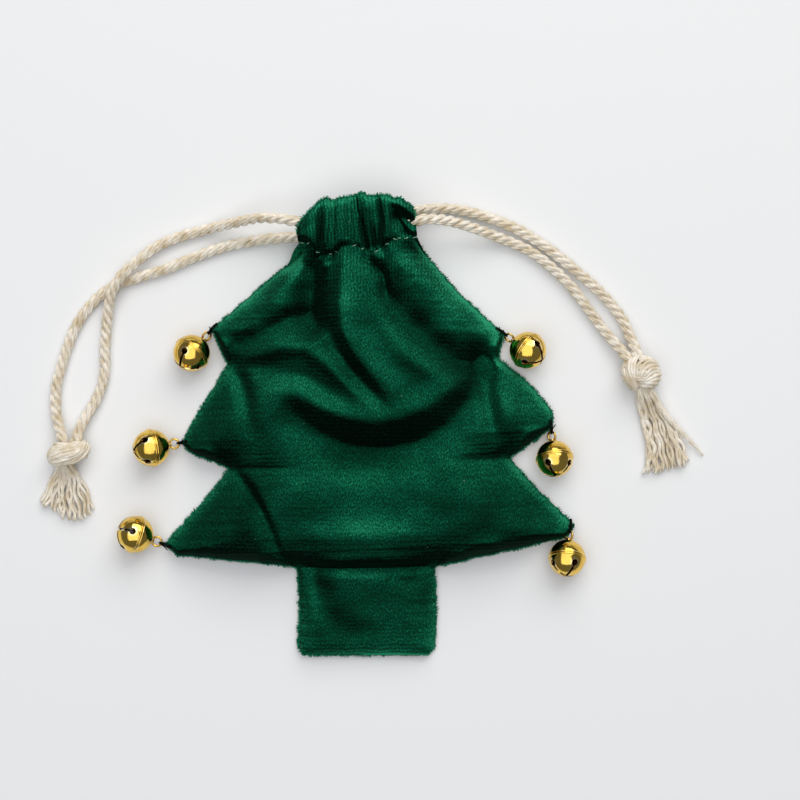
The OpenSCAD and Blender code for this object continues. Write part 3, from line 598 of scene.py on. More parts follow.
def fold(x, y, line, left, right=None):
    """A fold's height at each place: line holds (x, y, rise), left and right its softness on each side."""
    right = left if right is None else right
    best, sign, rise = np.full(x.shape, 1e9), np.zeros(x.shape), np.zeros(x.shape)
    for (ax, ay, ar), (bx, by, br) in zip(line[:-1], line[1:]):
        dx, dy = bx - ax, by - ay
        t = np.clip(((x - ax) * dx + (y - ay) * dy) / (dx * dx + dy * dy), 0, 1)
        off_x, off_y = x - ax - t * dx, y - ay - t * dy
        d = off_x ** 2 + off_y ** 2
        near = d < best
        best = np.where(near, d, best)
        sign = np.where(near, dx * off_y - dy * off_x, sign)
        rise = np.where(near, ar + (br - ar) * t, rise)
    side = 0.5 + 0.5 * np.tanh(sign / 4)
    return rise * np.exp(-best / (left * side + right * (1 - side)) ** 2)


# Each fold is its line from one end to the other with its rise in mm, then its softness left and right.
FOLDS = [
    # the central fold, from the neck down to the right, steep on its left
    ([(-1.2, 47, 0.8), (-2, 40, 2.6), (-2.4, 32, 3.2), (-1.8, 25, 3.2), (1, 19.4, 2.8), (5.6, 13, 2.4),
        (10, 8, 1.2), (12.5, 5, 0)], 5.4, 2.1),
    # the deep hollow to its left, with a small lobe hanging in it
    ([(-8.4, 46.2, -2.6), (-9.4, 42, -5.8), (-10.6, 36, -8.2), (-10.8, 30.4, -8.2), (-9.6, 26, -5),
        (-8, 22.5, 0)], 3.6, 4.4),
    ([(-7.6, 45.4, 1.2), (-7.4, 42.4, 3.4), (-7.6, 39.8, 1.4)], 1.9, 1.6),
    # the left shoulder
    ([(-15.2, 47, 1.4), (-18, 40, 2.2), (-21, 34, 1.8), (-25, 29, 0.6)], 4, 3.6),
    ([(-33, 18.6, -0.8), (-27.4, 22.8, -2.2), (-21, 25.6, -2.8), (-16.5, 28, -2.8), (-12, 28.6, -1.4)],
        2.6, 3.6),
    # the fold that runs in from the left notch and ends in the lip of the crescent
    ([(-32, 16.8, 0.4), (-27, 18.2, 1.6), (-20, 20.8, 2), (-12, 20.6, 1.9), (-6.5, 16.6, 1.9),
        (-1.5, 11.8, 1.7), (4, 6.8, 1.1), (7.5, 3.5, 0)], 3, 2.2),
    ([(-5.6, 25, -1.2), (-4.2, 19.8, -2.4), (0, 14.4, -2.7), (4.8, 9.6, -2.4), (9.2, 5.2, -0.4)], 2.4, 2.2),
    ([(-29, 14.2, 0), (-20, 14.4, -1.2), (-12, 12.6, -1.5), (-5, 7.8, -1.4), (1, 4.4, 0)], 2.4, 2.4),
    # the slump: a lip over a deep crescent
    ([(-24, 9.4, 0.2), (-15, 8.6, 1.6), (-8, 5, 2.2), (-1, 2.4, 2.4), (6, 1, 2.6), (12, 1.6, 2.6),
        (20, 4.8, 2.4), (27, 10.2, 2), (31, 15, 1)], 4, 2.6),
    ([(-19, 5.6, 0), (-14.5, 2, -2.8), (-8, -2.6, -5.2), (0, -5.6, -6.6), (9, -6.4, -6.8), (17.5, -4.8, -6.2),
        (26, 0, -5), (32.2, 7, -4.2), (35.4, 13.8, -3.8), (36, 18, -2.4)], 3.3, 6.4),
    ([(12, 12, 1.4), (16, 17, 1.6), (18, 22, 0.8)], 10, 10),
    ([(6.6, 31.5, 0.2), (10, 24.4, 1.2), (15.4, 18.6, 1.6), (21.6, 14.2, 1.4), (26, 11.5, 0.6)], 3.6, 3.4),
    # the valley from the neck to the right notch and the shoulder above it
    ([(9.4, 41.5, -1.6), (10.2, 34.5, -3.4), (14.2, 28.6, -4.8), (20.2, 23, -5), (27, 17.6, -4.6),
        (34, 15.4, -3.6)], 5.2, 3.4),
    ([(11, 47.5, 0.6), (14.5, 43.5, 1.8), (23, 37, 2.6), (32, 29.5, 2.2), (37.5, 23.5, 1.2)], 5.2, 4),
    # small tucks right of the central fold, below the stitches
    ([(5, 45.6, -1.8), (6.6, 42.6, -3), (8.6, 40.2, -3), (9.2, 36.4, -3), (9.4, 33, 0)], 1, 1.2),
    ([(5.2, 43.6, -1.4), (7.2, 41.6, -1.6)], 2.4, 2.4),
    # tucks at the notches
    ([(34.6, 17, -3), (37.4, 16.8, -3.2), (38.8, 17.4, -1.6)], 1.5, 1.9),
    ([(36.3, 15.5, -2.8), (36.6, 8, -2.4), (37.8, 0, -1.8), (39.4, -6, 0)], 2.2, 2.2),
    ([(40.5, 12, 0.4), (42, 5, 1.4), (43, -2, 0.6)], 3, 3),
    ([(38.6, -6.5, 0), (40.5, -8.6, -1.8), (42.4, -9.3, -1.2)], 1.4, 1.6),
    ([(-32.6, 15.2, -2), (-29.8, 12, -3), (-28.2, 7.5, -2.4), (-27.4, 2, -1.2), (-27, -4, 0)], 2.2, 2.4),
    ([(-33, -11.8, -1.2), (-30.4, -13.4, -2.2), (-27, -17.4, -2.4), (-23.6, -23, -2.3), (-21, -29, -2.2),
        (-19.4, -34.5, -1)], 0.9, 1.8),
    ([(-35, -18, 0), (-28.5, -25, 1.2), (-25, -31, 1)], 3.6, 3.6),
    # the roll over the bottom edge, and the trunk
    ([(-26, -32.6, 0), (-11, -29.4, 0.8), (2, -29.6, 1.1), (15, -29.6, 1.1), (27, -28.4, 0.8), (38, -28, 0)],
        3.6, 3),
    ([(-14.5, -38.2, -2), (-8, -38.3, -2.8), (4, -38.5, -3.2), (16, -38.4, -2.8), (22, -38.2, -2)], 1.5, 1.3),
    ([(-10.8, -40.5, -2), (-8.6, -44.5, -2), (-7, -50, -1.5), (-4, -54, -1.3), (1, -55.4, -0.8), (6, -54, 0)],
        3.6, 3.4),
    ([(-2.5, -41.5, 0.6), (-3, -47, 0.7), (0, -52, 0.5)], 4.6, 4.6),
    ([(11.5, -40.8, -1.2), (15.5, -42.2, -1.5), (18.6, -41.6, -0.8)], 1.8, 1.8),
    # broad unevenness of the filled body
    ([(24, -8, 0), (30, -14, 0.6), (33, -22, 0.6), (30, -28, 0)], 6, 6),
    ([(-18, -10, 0), (-16, -18, 0.7), (-15, -26, 0)], 6, 6),
    ([(44, -14, 0), (40, -21, -1.4), (37, -28, -1.2)], 4, 4),
]


def low_noise(x, y, period, random, count=14):
    """Smooth unevenness with one rough wavelength in mm, from -1 to 1."""
    total = np.zeros(x.shape)
    for _ in range(count):
        way, phase = random.uniform(0, 2 * math.pi, 2)
        k = 2 * math.pi / period / random.uniform(0.75, 1.35)
        total += np.sin(k * (x * math.cos(way) + y * math.sin(way)) + phase)
    return total / count


def front_height(x, y, random):
    """The front's height over the table in mm."""
    d, climb = from_edge(x, y)
    z = relaxed(filled(x, y, climb), d, 9, 12)
    total = sum(fold(x, y, *facts) for facts in FOLDS)
    uneven = 0.5 * low_noise(x, y, 17, random) + 0.22 * low_noise(x, y, 6, random)
    gather = eased((neck_v(x, y) + 13) / 12)
    wide = low_noise(x, y * 0.12, 3.6, random) * 0.6 * gather
    z = z + (total + uneven + wide) * eased(d / 5.5)
    return np.maximum(z, BACK_T + 0.9 + 0.5 * eased(d / 3)), d, climb > d * 1.3


COLUMNS = 336
fold_random = np.random.default_rng(5)


def crowded(columns, share):
    """Shares from 0 to 1 across the cloth, closer together towards both edges."""
    even = np.linspace(0, 1, columns + 1)
    return (1 - share) * even + share * (1 - np.cos(math.pi * even)) / 2


def cloth_grid(share):
    """Places in mm of a grid over the outline, its first row on the neck's stitch line."""
    rows = LEFT_EDGE[:, None] * (1 - share)[None, :, None] + RIGHT_EDGE[:, None] * share[None, :, None]
    line = np.array(NECK_LINE)
    neck_x, neck_y = rows[0, :, 0], np.interp(rows[0, :, 0], line[:, 0], line[:, 1])
    lift = neck_y - rows[0, :, 1]
    drop = np.linalg.norm(rows - rows[:1], axis=2)
    rows[..., 1] += lift[None] * np.exp(-(drop / 4.0) ** 2)
    return rows, np.interp(neck_x, line[:, 0], line[:, 2]), drop


def blurred(z, passes):
    """Creases between rows eased, edges kept."""
    for _ in range(passes):
        inner = (z[:-2, 1:-1] + z[2:, 1:-1] + z[1:-1, :-2] + z[1:-1, 2:] + 4 * z[1:-1, 1:-1]) / 8
        z = z.copy()
        z[1:-1, 1:-1] = inner
    return z


def grid_faces(rows, columns, up=True):
    """The faces of a grid of points, which look up or down."""
    i, j = np.meshgrid(np.arange(rows - 1), np.arange(columns - 1), indexing="ij")
    p = (i * columns + j).ravel()
    quad = np.stack([p, p + columns, p + columns + 1, p + 1], -1)
    return quad if up else quad[:, ::-1]


front_xy, neck_z, from_neck = cloth_grid(crowded(COLUMNS, 0.28))
front_z, front_d, underside = front_height(front_xy[..., 0], front_xy[..., 1], fold_random)
near_neck = np.exp(-(from_neck / 3.2) ** 2)
front_z = front_z * (1 - near_neck) + neck_z[None] * near_neck
front_z = blurred(front_z, 8)
# The turned edge is round: it starts at the seam, in the back's upper half, and curls over.
CURL, SEAM_Z = 1.5, BACK_T * 0.8
curl = np.clip(front_d / CURL, 0, 1)
edge_z = SEAM_Z + (front_z - SEAM_Z) * np.sqrt(1 - (1 - curl) ** 2)
front_z = np.where(front_d < CURL, edge_z, front_z)

# Velour is a knit with a short cut pile. Its colour holds painted light and shade: cloth that faces up
# towards the neck, a little to the right, is painted lighter, as if lit from there, and cloth that falls away
# is painted darker. Tufts of about half a millimetre make a fine speckle, and on the painted dark slopes the
# knit's courses, 1.1 mm apart, show through.
# The velour's tones run from painted shade at the dark end to painted light on the brightest specks at the
# top.
VELOUR_DARK, VELOUR_MID, VELOUR_LIGHT, VELOUR_LIT_SPECKS = "#000a06", "#033a27", "#0b5f43", "#2a946c"
TUFT_W, TUFT_L, TUFT_LEAN = 0.34 * MM, 0.62 * MM, math.radians(-22)
# The direction of the light that the velour's painted light and shade follow.
PAINTED_LIGHT_FROM = (0.14, 0.56, 0.6)
CLUMP_W, PATCH_W, LINT_EVERY = 1.5 * MM, 11 * MM, 7 * MM
WALE = 0.9


def band_scale(period_mm):
    """The scale that gives a wave texture bands at one period, in metres of cloth."""
    return 2 * math.pi / 20 / (period_mm * MM)


velour, pile, velour_shader = new_material(
    "cut_pile_velour", VELOUR_MID, 1.0, Specular_IOR_Level=0.04, Sheen_Weight=0.12, Sheen_Roughness=0.4,
    Sheen_Tint="#1f8a60")
pile_at = add(pile, "TexCoord")
cloth_at = (pile_at, "UV")
combed = add(pile, "Mapping", {"Vector": cloth_at, "Rotation": (0, 0, TUFT_LEAN),
                               "Scale": (1 / TUFT_W, 1 / TUFT_L, 1)})
tufts = add(pile, "TexNoise", {"Vector": combed, "Scale": 1.0, "Detail": 2.5, "Roughness": 0.6})
clumps = add(pile, "TexNoise", {"Vector": cloth_at, "Scale": 1 / CLUMP_W, "Detail": 2.0, "Roughness": 0.6})
courses = add(pile, "TexWave", {"Vector": cloth_at, "Scale": band_scale(COURSE), "Distortion": 5.5,
                                "Detail": 3.0, "Detail Scale": 0.7, "Detail Roughness": 0.7},
              bands_direction="Y")
patches = add(pile, "TexNoise", {"Vector": (pile_at, "Object"), "Scale": 1 / PATCH_W, "Detail": 2.0})
# Painted light and shade: lighter where the cloth faces that light, darker where it faces away; the courses
# show more in the painted shade.
facing_light = (add(pile, "VectorMath", {0: (pile_at, "Normal"), 1: PAINTED_LIGHT_FROM}, operation="DOT_PRODUCT"), "Value")
light = add(pile, "MapRange", {"Value": facing_light, "From Min": 0.05, "From Max": 0.82, "To Min": -0.12,
                               "To Max": 0.66})
rows_where_shaded = add(pile, "MapRange", {"Value": facing_light, "From Min": 0.2, "From Max": 0.6, "To Min": 0.2, "To Max": 0.02})
speckle = add(pile, "MapRange", {"Value": tufts, "From Min": 0.3, "From Max": 0.7, "To Min": -0.33,
                                 "To Max": 0.33})
rows = add(pile, "Math", {0: (courses, "Fac"), 1: 0.6}, operation="SUBTRACT")
shown = add(pile, "Math", {0: rows, 1: rows_where_shaded, 2: light}, operation="MULTIPLY_ADD")
uneven = add(pile, "Math", {0: patches, 1: 0.3, 2: shown}, operation="MULTIPLY_ADD")
clumped = add(pile, "Math", {0: clumps, 1: 0.28, 2: uneven}, operation="MULTIPLY_ADD")
# Painted shade and light set per point: positive values darken, negative values lighten.
painted_shade = add(pile, "Attribute", attribute_name="painted_shade")
with_painted_shade = add(pile, "Math", {0: clumped, 1: (painted_shade, "Fac")}, operation="SUBTRACT")
shade = add(pile, "Math", {0: with_painted_shade, 1: speckle}, operation="ADD")
# Where the cloth is drawn up its wales stand out as ribs.
wales = add(pile, "TexWave", {"Vector": cloth_at, "Scale": band_scale(WALE), "Distortion": 6.0, "Detail": 3.0,
                              "Detail Scale": 0.45}, bands_direction="X")
ribbed = add(pile, "Attribute", attribute_name="ribbed")
wale = add(pile, "Math", {0: (wales, "Fac"), 1: 0.5}, operation="SUBTRACT")
ribs = add(pile, "Math", {0: wale, 1: (ribbed, "Fac")}, operation="MULTIPLY")
ribbing = add(pile, "Math", {0: ribs, 1: 0.24, 2: shade}, operation="MULTIPLY_ADD")
scaled = add(pile, "Math", {0: ribbing, 1: 0.72}, operation="MULTIPLY")
# The ramp turns the painted light and shade, the painted patches and the random speckle into colour.
depth = add(pile, "ValToRGB", {"Fac": scaled},
            stops={0.13: VELOUR_DARK, 0.53: VELOUR_MID, 0.73: VELOUR_LIGHT, 1.0: VELOUR_LIT_SPECKS})
# There is a speck of pale lint here and there.
lint = add(pile, "TexVoronoi", {"Vector": cloth_at, "Scale": 1 / LINT_EVERY})
speck = add(pile, "MapRange", {"Value": lint, "From Min": 0.02, "From Max": 0.034, "To Min": 0.45,
                               "To Max": 0.0})
coloured = add(pile, "MixRGB", {"Fac": speck, "Color1": depth, "Color2": linear("#7f9c8e")})
tuft_bump = add(pile, "Bump", {"Height": tufts, "Strength": 0.7, "Distance": 0.3 * MM})
course_bump = add(pile, "Bump", {"Height": rows, "Normal": tuft_bump, "Strength": 0.2, "Distance": 0.12 * MM})
rib_bump = add(pile, "Bump", {"Height": ribs, "Normal": course_bump, "Strength": 0.4, "Distance": 0.2 * MM})
feed(velour_shader, {"Base Color": coloured, "Normal": rib_bump})

front = new_piece("front_velour_sheet", np.dstack([front_xy, front_z]).reshape(-1, 3) * MM,
                  grid_faces(*front_xy.shape[:2]), velour, front_xy.reshape(-1, 2) * MM)

# Patches of painted shade, darker where the cloth lies in shade: each as its middle, its half widths along x
# and y, and how much.
SHADE_PATCHES = [(-37, -27, 11, 7, 0.24), (44, -24, 12, 7, 0.32), (-27, -22, 3.5, 7, 0.42), (-36, 0, 9, 8, 0.12),
    (-12, 31, 5.5, 6, 0.42), (-9, 24, 4, 3, 0.3), (-21, 29, 5, 4, 0.25), (5, 28, 6, 5, 0.13),
    (-0.5, 15, 4, 4, 0.2), (2, -8, 13, 4, 0.26), (12, 2, 5, 3, 0.15), (5, -11.5, 24, 4, 0.1),
    (33, 10, 5, 6, 0.2), (15, -43, 7, 5, 0.25), (11.5, 35, 2.4, 4, 0.4), (18, 27.5, 4, 4, 0.36),
    (23.5, 22, 4, 3.6, 0.42), (28.5, 16, 4, 4, 0.36), (5, -36.2, 15, 2, 0.3)]
# and patches of painted light, lighter where the cloth catches light
LIGHT_PATCHES = [(-27, 14.5, 5, 3, 0.22), (-21, 8.5, 5, 3, 0.18), (38, 21.5, 3.5, 3.5, 0.4), (44, -4.5, 6, 3, 0.2),
    (-27, -8, 4, 4, 0.4), (30, 37, 10, 6, 0.2), (-27, 34, 8, 4, 0.25), (37, 28, 4, 4, 0.2),
    (-16, 45, 4.5, 4, 0.9), (12, -57, 9, 4, 0.26), (-12, -52, 3, 8, 0.18), (13, -50, 7, 4, 0.16),
    (12, 45.5, 7, 4, 0.24), (3, -28, 26, 6, 0.26), (4, -61, 20, 2.4, 0.5), (-1.5, 31, 3, 7, 0.2),
    (-8, -14, 14, 4, 0.1)]


def mark(piece, name, values):
    """Give each point of a piece a value that its material reads."""
    values = np.asarray(values, np.float32)
    piece.data.attributes.new(name, "FLOAT", "POINT").data.foreach_set("value", values)


front_x, front_y = front_xy[..., 0].ravel(), front_xy[..., 1].ravel()
# Painted shade and light from the patches at each point of the front.
shade_paint = sum(sign * amount * np.exp(-((front_x - x) / w) ** 2 - ((front_y - y) / h) ** 2)
             for sign, places in ((1, SHADE_PATCHES), (-1, LIGHT_PATCHES)) for x, y, w, h, amount in places)
# Painted light along the rolled seam edge, except under the tiers.
shade_paint -= 0.5 * (np.exp(-(front_d / CURL) ** 2) * ~underside).ravel()
mark(front, "painted_shade", shade_paint)
mark(front, "ribbed", 0.9 * np.exp(-(from_neck.ravel() / 16) ** 2))


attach(front, "pouch")
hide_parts("front_panel")

# The pile stands out past the seam all round as a short uneven fringe of tufts.
TUFT_EVERY, TUFT_OUT, TUFT_FOOT, TUFTS_IN_CLUMP = 0.24, (0.4, 1.1), 0.42, 5
fringe_random = np.random.default_rng(47)


def tuft_piece(name, feet, outwards, heights):
    """Flat tapering tufts of pile: each stands on its foot and points outwards, as four corners."""
    count = len(feet)
    swing = fringe_random.normal(0, 0.5, count)
    way = outwards * np.cos(swing)[:, None] + outwards @ TO_LEFT * np.sin(swing)[:, None]
    side = way @ TO_LEFT * TUFT_FOOT / 2
    starts = np.arange(0, count + TUFTS_IN_CLUMP, TUFTS_IN_CLUMP)
    fullness = fringe_random.uniform(0.3, 1, count // TUFTS_IN_CLUMP + 2)[:len(starts)]
    long = (fringe_random.uniform(*TUFT_OUT, count) * np.interp(np.arange(count), starts, fullness))[:, None]
    back = feet - way * 0.5
    rise = fringe_random.uniform(-0.25, 0.25, count)
    corners = np.stack([np.column_stack([back - side, heights]), np.column_stack([back + side, heights]),
                        np.column_stack([feet + way * long + side * 0.35, heights + rise]),
                        np.column_stack([feet + way * long - side * 0.35, heights + rise])], axis=1)
    quads = np.arange(count * 4).reshape(-1, 4)
    fringe = new_piece(name, corners.reshape(-1, 3) * MM, quads, velour, corners[..., :2].reshape(-1, 2) * MM)
    # Painted light on each tuft, most at its tip.
    mark(fringe, "painted_shade", np.tile([-0.1, -0.1, -0.5, -0.5], count))
    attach(fringe, "pouch")


def feet_along(line, step):
    """Points every step mm along a line, with the directions to its left."""
    run = run_of(line)
    at = np.arange(0, run[-1], step)
    spots = np.column_stack([np.interp(at, run, axis) for axis in line.T])
    return spots, unit(np.gradient(spots[:, :2], axis=0)) @ TO_LEFT


foot_of_trunk = np.vstack([LEFT_EDGE[-1:], RIGHT_EDGE[-1:]])
stretches = [feet_along(line, TUFT_EVERY) for line in (LEFT_EDGE, foot_of_trunk, RIGHT_EDGE[::-1])]
edge_spots, edge_out = (np.vstack(parts) for parts in zip(*stretches))
TREE_MIDDLE = (2, 0)
edge_out *= np.sign(np.sum(edge_out * (edge_spots - TREE_MIDDLE), axis=1).mean())
tuft_piece("edge_pile_fringe", np.vstack([edge_spots + edge_out * push for push in (-0.15, 0.0, -0.3)]),
           np.vstack([edge_out] * 3), np.repeat([0.7, 1.1, 1.7], len(edge_spots)))

# ---- Back cloth ----
# The back is cut to the same outline and lies flat on the table, with slight puckers along its seam.

BACK_COLUMNS, BACK_CURL = 150, 1.3
back_xy, _, _ = cloth_grid(crowded(BACK_COLUMNS, 0.4))
back_d, _ = from_edge(back_xy[..., 0], back_xy[..., 1])
back_curl = np.clip(back_d / BACK_CURL, 0, 1)
back_lift = 0.25 * (1 + low_noise(back_xy[..., 0], back_xy[..., 1], 14, fold_random)) * eased(back_d / 8)
back_z = BACK_T * 0.78 * (1 - np.sqrt(1 - (1 - back_curl) ** 2)) + 0.05 + back_lift
back = new_piece("back_velour_sheet", np.dstack([back_xy, back_z]).reshape(-1, 3) * MM,
                 grid_faces(*back_xy.shape[:2], up=False), velour, back_xy.reshape(-1, 2) * MM)
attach(back, "pouch")
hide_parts("back_panel")

# ---- Casings ----
# The top of each panel is folded down inside over both cords and sewn across, which makes a sleeve.
# Drawn up, the front one bunches into uneven pleats with deep slits between them, and its right end gapes.

NECK_TOP, CASING_H, PILE_H = 15.2, 5.2, 0.9
CASING_TOP = [(-14.3, 52), (-14.2, 53.4), (-13.3, 55.3), (-10.6, 58), (-9.4, 59.6), (-8.2, 60.7),
    (-6.5, 61.1), (-4.4, 60.5), (-2.3, 61.2), (0.8, 62), (3.2, 62.7), (5.5, 61.6), (7.9, 62), (10.2, 61.8),
    (11.8, 60.8), (13.1, 61.3), (14.7, 60.2), (16.3, 59.1), (16.9, 56.8), (17.3, 54.8)]
CASING_FOLDS = [
    ([(-8, 58.8, -0.3), (-8.1, 55.5, -1.1), (-8.2, 52.4, -2.2), (-8.2, 49.4, -4), (-8.6, 45.8, -4.4)],
        0.85, 0.6),
    ([(-5.9, 57.6, 0.4), (-6.3, 53, 0.9), (-6.9, 48.2, 0.9)], 0.6, 1.4),
    ([(-10.8, 57.6, 0.2), (-11.4, 53.8, 0.7), (-11.2, 50, 0.8)], 1.8, 1.6),
    ([(-3, 60, 0.5), (-2.8, 55, 0.9), (-2.4, 49.6, 0.8)], 2.6, 2.4),
    ([(-4.1, 58.4, -0.3), (-4.5, 49, -0.35)], 0.35, 0.35),
    ([(-1.4, 59.6, -0.3), (-1, 50, -0.4)], 0.35, 0.4),
    ([(0.4, 58.8, -0.3), (0.7, 49, -0.35)], 0.35, 0.35),
    ([(1.2, 61.4, -1.8), (1.4, 58.8, -1.1), (1.7, 56, -0.3)], 0.5, 0.5),
    ([(3.4, 61.5, 0.7), (4.2, 57.6, 0.8), (5.2, 54, 0.2)], 1.6, 1.5),
    ([(2.2, 56.2, -0.5), (2.8, 53.2, -2.3), (3.4, 50.2, -3.6), (4.1, 46.8, -4.2)], 0.9, 0.6),
    ([(5.2, 54.4, -0.5), (5.4, 51, -1.9), (5.7, 47.4, -2.8)], 1.3, 1.3),
    ([(7.2, 61, -1.8), (7.7, 57.4, -2.3), (8.1, 54, -2.7), (7.9, 51, -2.9), (7.6, 47.8, -3.2)], 0.5, 0.5),
    ([(9.6, 60.2, 0.7), (9.8, 56, 1), (9.6, 50, 0.8)], 0.9, 1),
    ([(11.7, 57.2, -1.4), (12.2, 55, -2.8), (13.8, 52.6, -3), (15, 50.6, -3.4)], 0.7, 1.5),
    ([(12.4, 55.6, -1.8), (14.8, 54.8, -2.6), (16.6, 53.8, -2.6)], 0.9, 1.4),
    ([(13.6, 60.6, -1.1), (14.3, 59.6, -1.1), (15.4, 58.2, -0.3)], 0.35, 0.35),
    ([(11.9, 59.2, 0.7), (14.6, 57.6, 1), (16.6, 56, 0.8)], 1.1, 0.8),
    ([(-13.6, 53.6, 0.3), (-13.2, 50.6, 0.4)], 0.8, 0.8),
]
# Rows from the stitch line to the hem, and the parts of them on the outside and round the fold.
CASING_ROWS, OUTER_PART, BEND_PART = 84, 0.62, 0.2
FOLD_R, HEM_L = 1.9, 5.0
CASING_CUT, CUT_FROM = 26, 60  # the strip's width, and where its pattern starts
casing_random = np.random.default_rng(31)


def on_casing(places, below=0):
    """Places on the table, moved down by below, as (along, above) from the middle of the stitch line."""
    x, y = (np.array(places) - NECK_AT - (0, below)).T
    c, s = math.cos(NECK_TILT), math.sin(NECK_TILT)
    return np.column_stack([x * c + y * s, -x * s + y * c])


def casing_piece(name, columns, up, node):
    """A sleeve of cloth from the stitch line over the cords, round the fold and back inside to its hem."""
    top, line = on_casing(CASING_TOP, PILE_H), on_casing(np.array(NECK_LINE)[:, :2])
    u = np.linspace(top[0, 0], top[-1, 0], columns)
    spots = np.arange(-16, 17, COURSE)
    frill = np.interp(u, spots, casing_random.uniform(-0.22, 0.22, len(spots)))
    end = np.interp(u, *top.T) + frill
    low = np.interp(u, *line.T) if up else 0 * u
    bend = np.minimum(FOLD_R, (end - low) * 0.3)
    rows, outer = [], []
    for t in np.linspace(0, 1, CASING_ROWS):
        if t < OUTER_PART:
            share = t / OUTER_PART
            v = low + (end - bend - low) * share
            z = 0.5 * np.sin(math.pi * np.clip(share * 1.3, 0, 1)) + 0 * u
        else:
            angle = math.pi * min(1, (t - OUTER_PART) / BEND_PART)
            hem = max(0, t - OUTER_PART - BEND_PART) / (1 - OUTER_PART - BEND_PART)
            v = end - bend + bend * math.sin(angle) - hem * np.minimum(HEM_L, end - low - 2)
            z = CASING_H / 2 * (math.cos(angle) - 1) + 0 * u
        rows.append(np.stack([u, v, z], -1))
        outer.append(np.clip(1 - (t - OUTER_PART) / 0.16, 0.06, 1))
    grid, outer = np.array(rows), np.array(outer)[:, None]
    place = on_neck(grid[..., 0], grid[..., 1])
    if up:
        sunk = sum(fold(place[..., 0], place[..., 1], *facts) for facts in CASING_FOLDS)
        sway = 0.3 * low_noise(grid[..., 0], grid[..., 1] * 0.35, 2.6, casing_random)
        droop = 1.6 * np.clip((np.abs(grid[..., 0]) - 11.5) / 4.5, 0, 1) ** 2
        seam = np.exp(-((grid[..., 1] - low) / 0.8) ** 2) * (outer > 0.99)
        seam_z = np.interp(u, line[:, 0], np.array(NECK_LINE)[:, 2]) - NECK_TOP
        z = NECK_TOP + (grid[..., 2] + (sunk + sway) * outer - droop) * (1 - seam) + (seam_z - 0.25) * seam
    else:
        z = 0.05 - grid[..., 2]
    cut = np.dstack([grid[..., 0], np.linspace(0, CASING_CUT, CASING_ROWS)[:, None] + 0 * grid[..., 0]])
    points = np.dstack([place, z])
    piece = new_piece(name, points.reshape(-1, 3) * MM, grid_faces(*place.shape[:2], up=not up), velour,
                      (cut + CUT_FROM).reshape(-1, 2) * MM)
    mark(piece, "ribbed", np.full(z.size, 1))
    # Painted light, growing towards the folded top of the sleeve.
    mark(piece, "painted_shade", -0.26 * eased((grid[..., 1] - 7) / 5).ravel())
    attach(piece, "pouch")
    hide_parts(node)
    return points


sleeve = casing_piece("front_casing_sleeve", 300, True, "front_casing")
casing_piece("back_casing_sleeve", 120, False, "back_casing")
bend_row = sleeve[int(CASING_ROWS * 0.71)]
bend_spots, bend_out = feet_along(bend_row, 0.3)
bend_out *= np.sign(bend_out[:, 1].mean())
tuft_piece("casing_pile_fringe",
           np.vstack([bend_spots[:, :2] + bend_out * push for push in (0.1, -0.2, 0.0)]),
           np.vstack([bend_out] * 3),
           np.concatenate([bend_spots[:, 2] + rise for rise in (-0.5, 0.3, 0.9)]))

# The stitches that close the casings: pale green spun polyester, one every few millimetres, half sunk in
# the pile, tight in the valleys and lost in the deepest of them.
STITCHES = [(-12.8, 48.4), (-11.2, 48.3), (-8.9, 46), (-5.3, 45.5), (-3.6, 46), (1, 47.6), (3.1, 46.8),
    (6.8, 46.2), (9.6, 48.1), (11.8, 49.3), (12.9, 49.6), (14.7, 49.6), (17, 49.9)]
STITCH_D = 0.22 * MM


def spun_thread(name, colour, roughness, twist, dark, pale, bump=0, **sockets):
    """Spun polyester: bands of painted shade and light along its twist, given in mm, dark in the grooves and
    pale on the plies, and grooves where it is drawn close.
    """
    thread, tree, shader = new_material(name, colour, roughness, **sockets)
    at = add(tree, "TexCoord")
    turns = add(tree, "TexWave", {"Vector": (at, "UV"), "Scale": band_scale(twist), "Distortion": 1.0},
                bands_direction="DIAGONAL")
    # Painted shade in the twist's grooves, painted light on its plies.
    shades = add(tree, "ValToRGB", {"Fac": (turns, "Fac")}, stops={0.1: dark, 0.9: pale})
    feed(shader, {"Base Color": shades})
    if bump:
        grooves = add(tree, "Bump", {"Height": (turns, "Fac"), "Strength": bump, "Distance": 0.05 * MM})
        feed(shader, {"Normal": grooves})
    return thread


stitch_thread = spun_thread("green_spun_thread", "#7fb08f", 0.8, 0.4, "#3f7a56", "#9cc9a8", Sheen_Weight=0.2)


def stitch_row(name, places, heights, lifted, slot_node):
    """Short dashes of thread along a line, each bowed up between its two holes."""
    dashes = []
    for (x, y), z in zip(places, heights):
        reach = casing_random.uniform(0.35, 0.65)
        t = np.linspace(-1, 1, 14)
        tilt = NECK_TILT + casing_random.uniform(-0.5, 0.5)
        dashes.append(np.column_stack([x + reach * t * math.cos(tilt), y + reach * t * math.sin(tilt),
                                       z + lifted * (0.55 - t ** 2)]) * MM)
    row = yarn_piece(name, dashes, STITCH_D, stitch_thread, sides=6)
    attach(row, "pouch")
    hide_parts(slot_node)


neck_line = np.array(NECK_LINE)
stitch_row("front_casing_stitches", STITCHES,
           [np.interp(x, neck_line[:, 0], neck_line[:, 2]) + 0.15 for x, _ in STITCHES], 0.3,
           "front_stitching")
back_stitches = [tuple(on_neck(u, 0.6)) for u in np.arange(-13.5, 14, 2.4)]
stitch_row("back_casing_stitches", back_stitches, [0.3] * len(back_stitches), -0.25, "back_stitching")

# ---- Bells ----
# Six 10 mm jingle bells hang from the tips, each pressed from two brass cups that are rolled together at
# the middle and plated gold. Each keeps its shape from the frame. The lower cup has four slots, with bright
# cut edges, and a steel pellet shows through them.

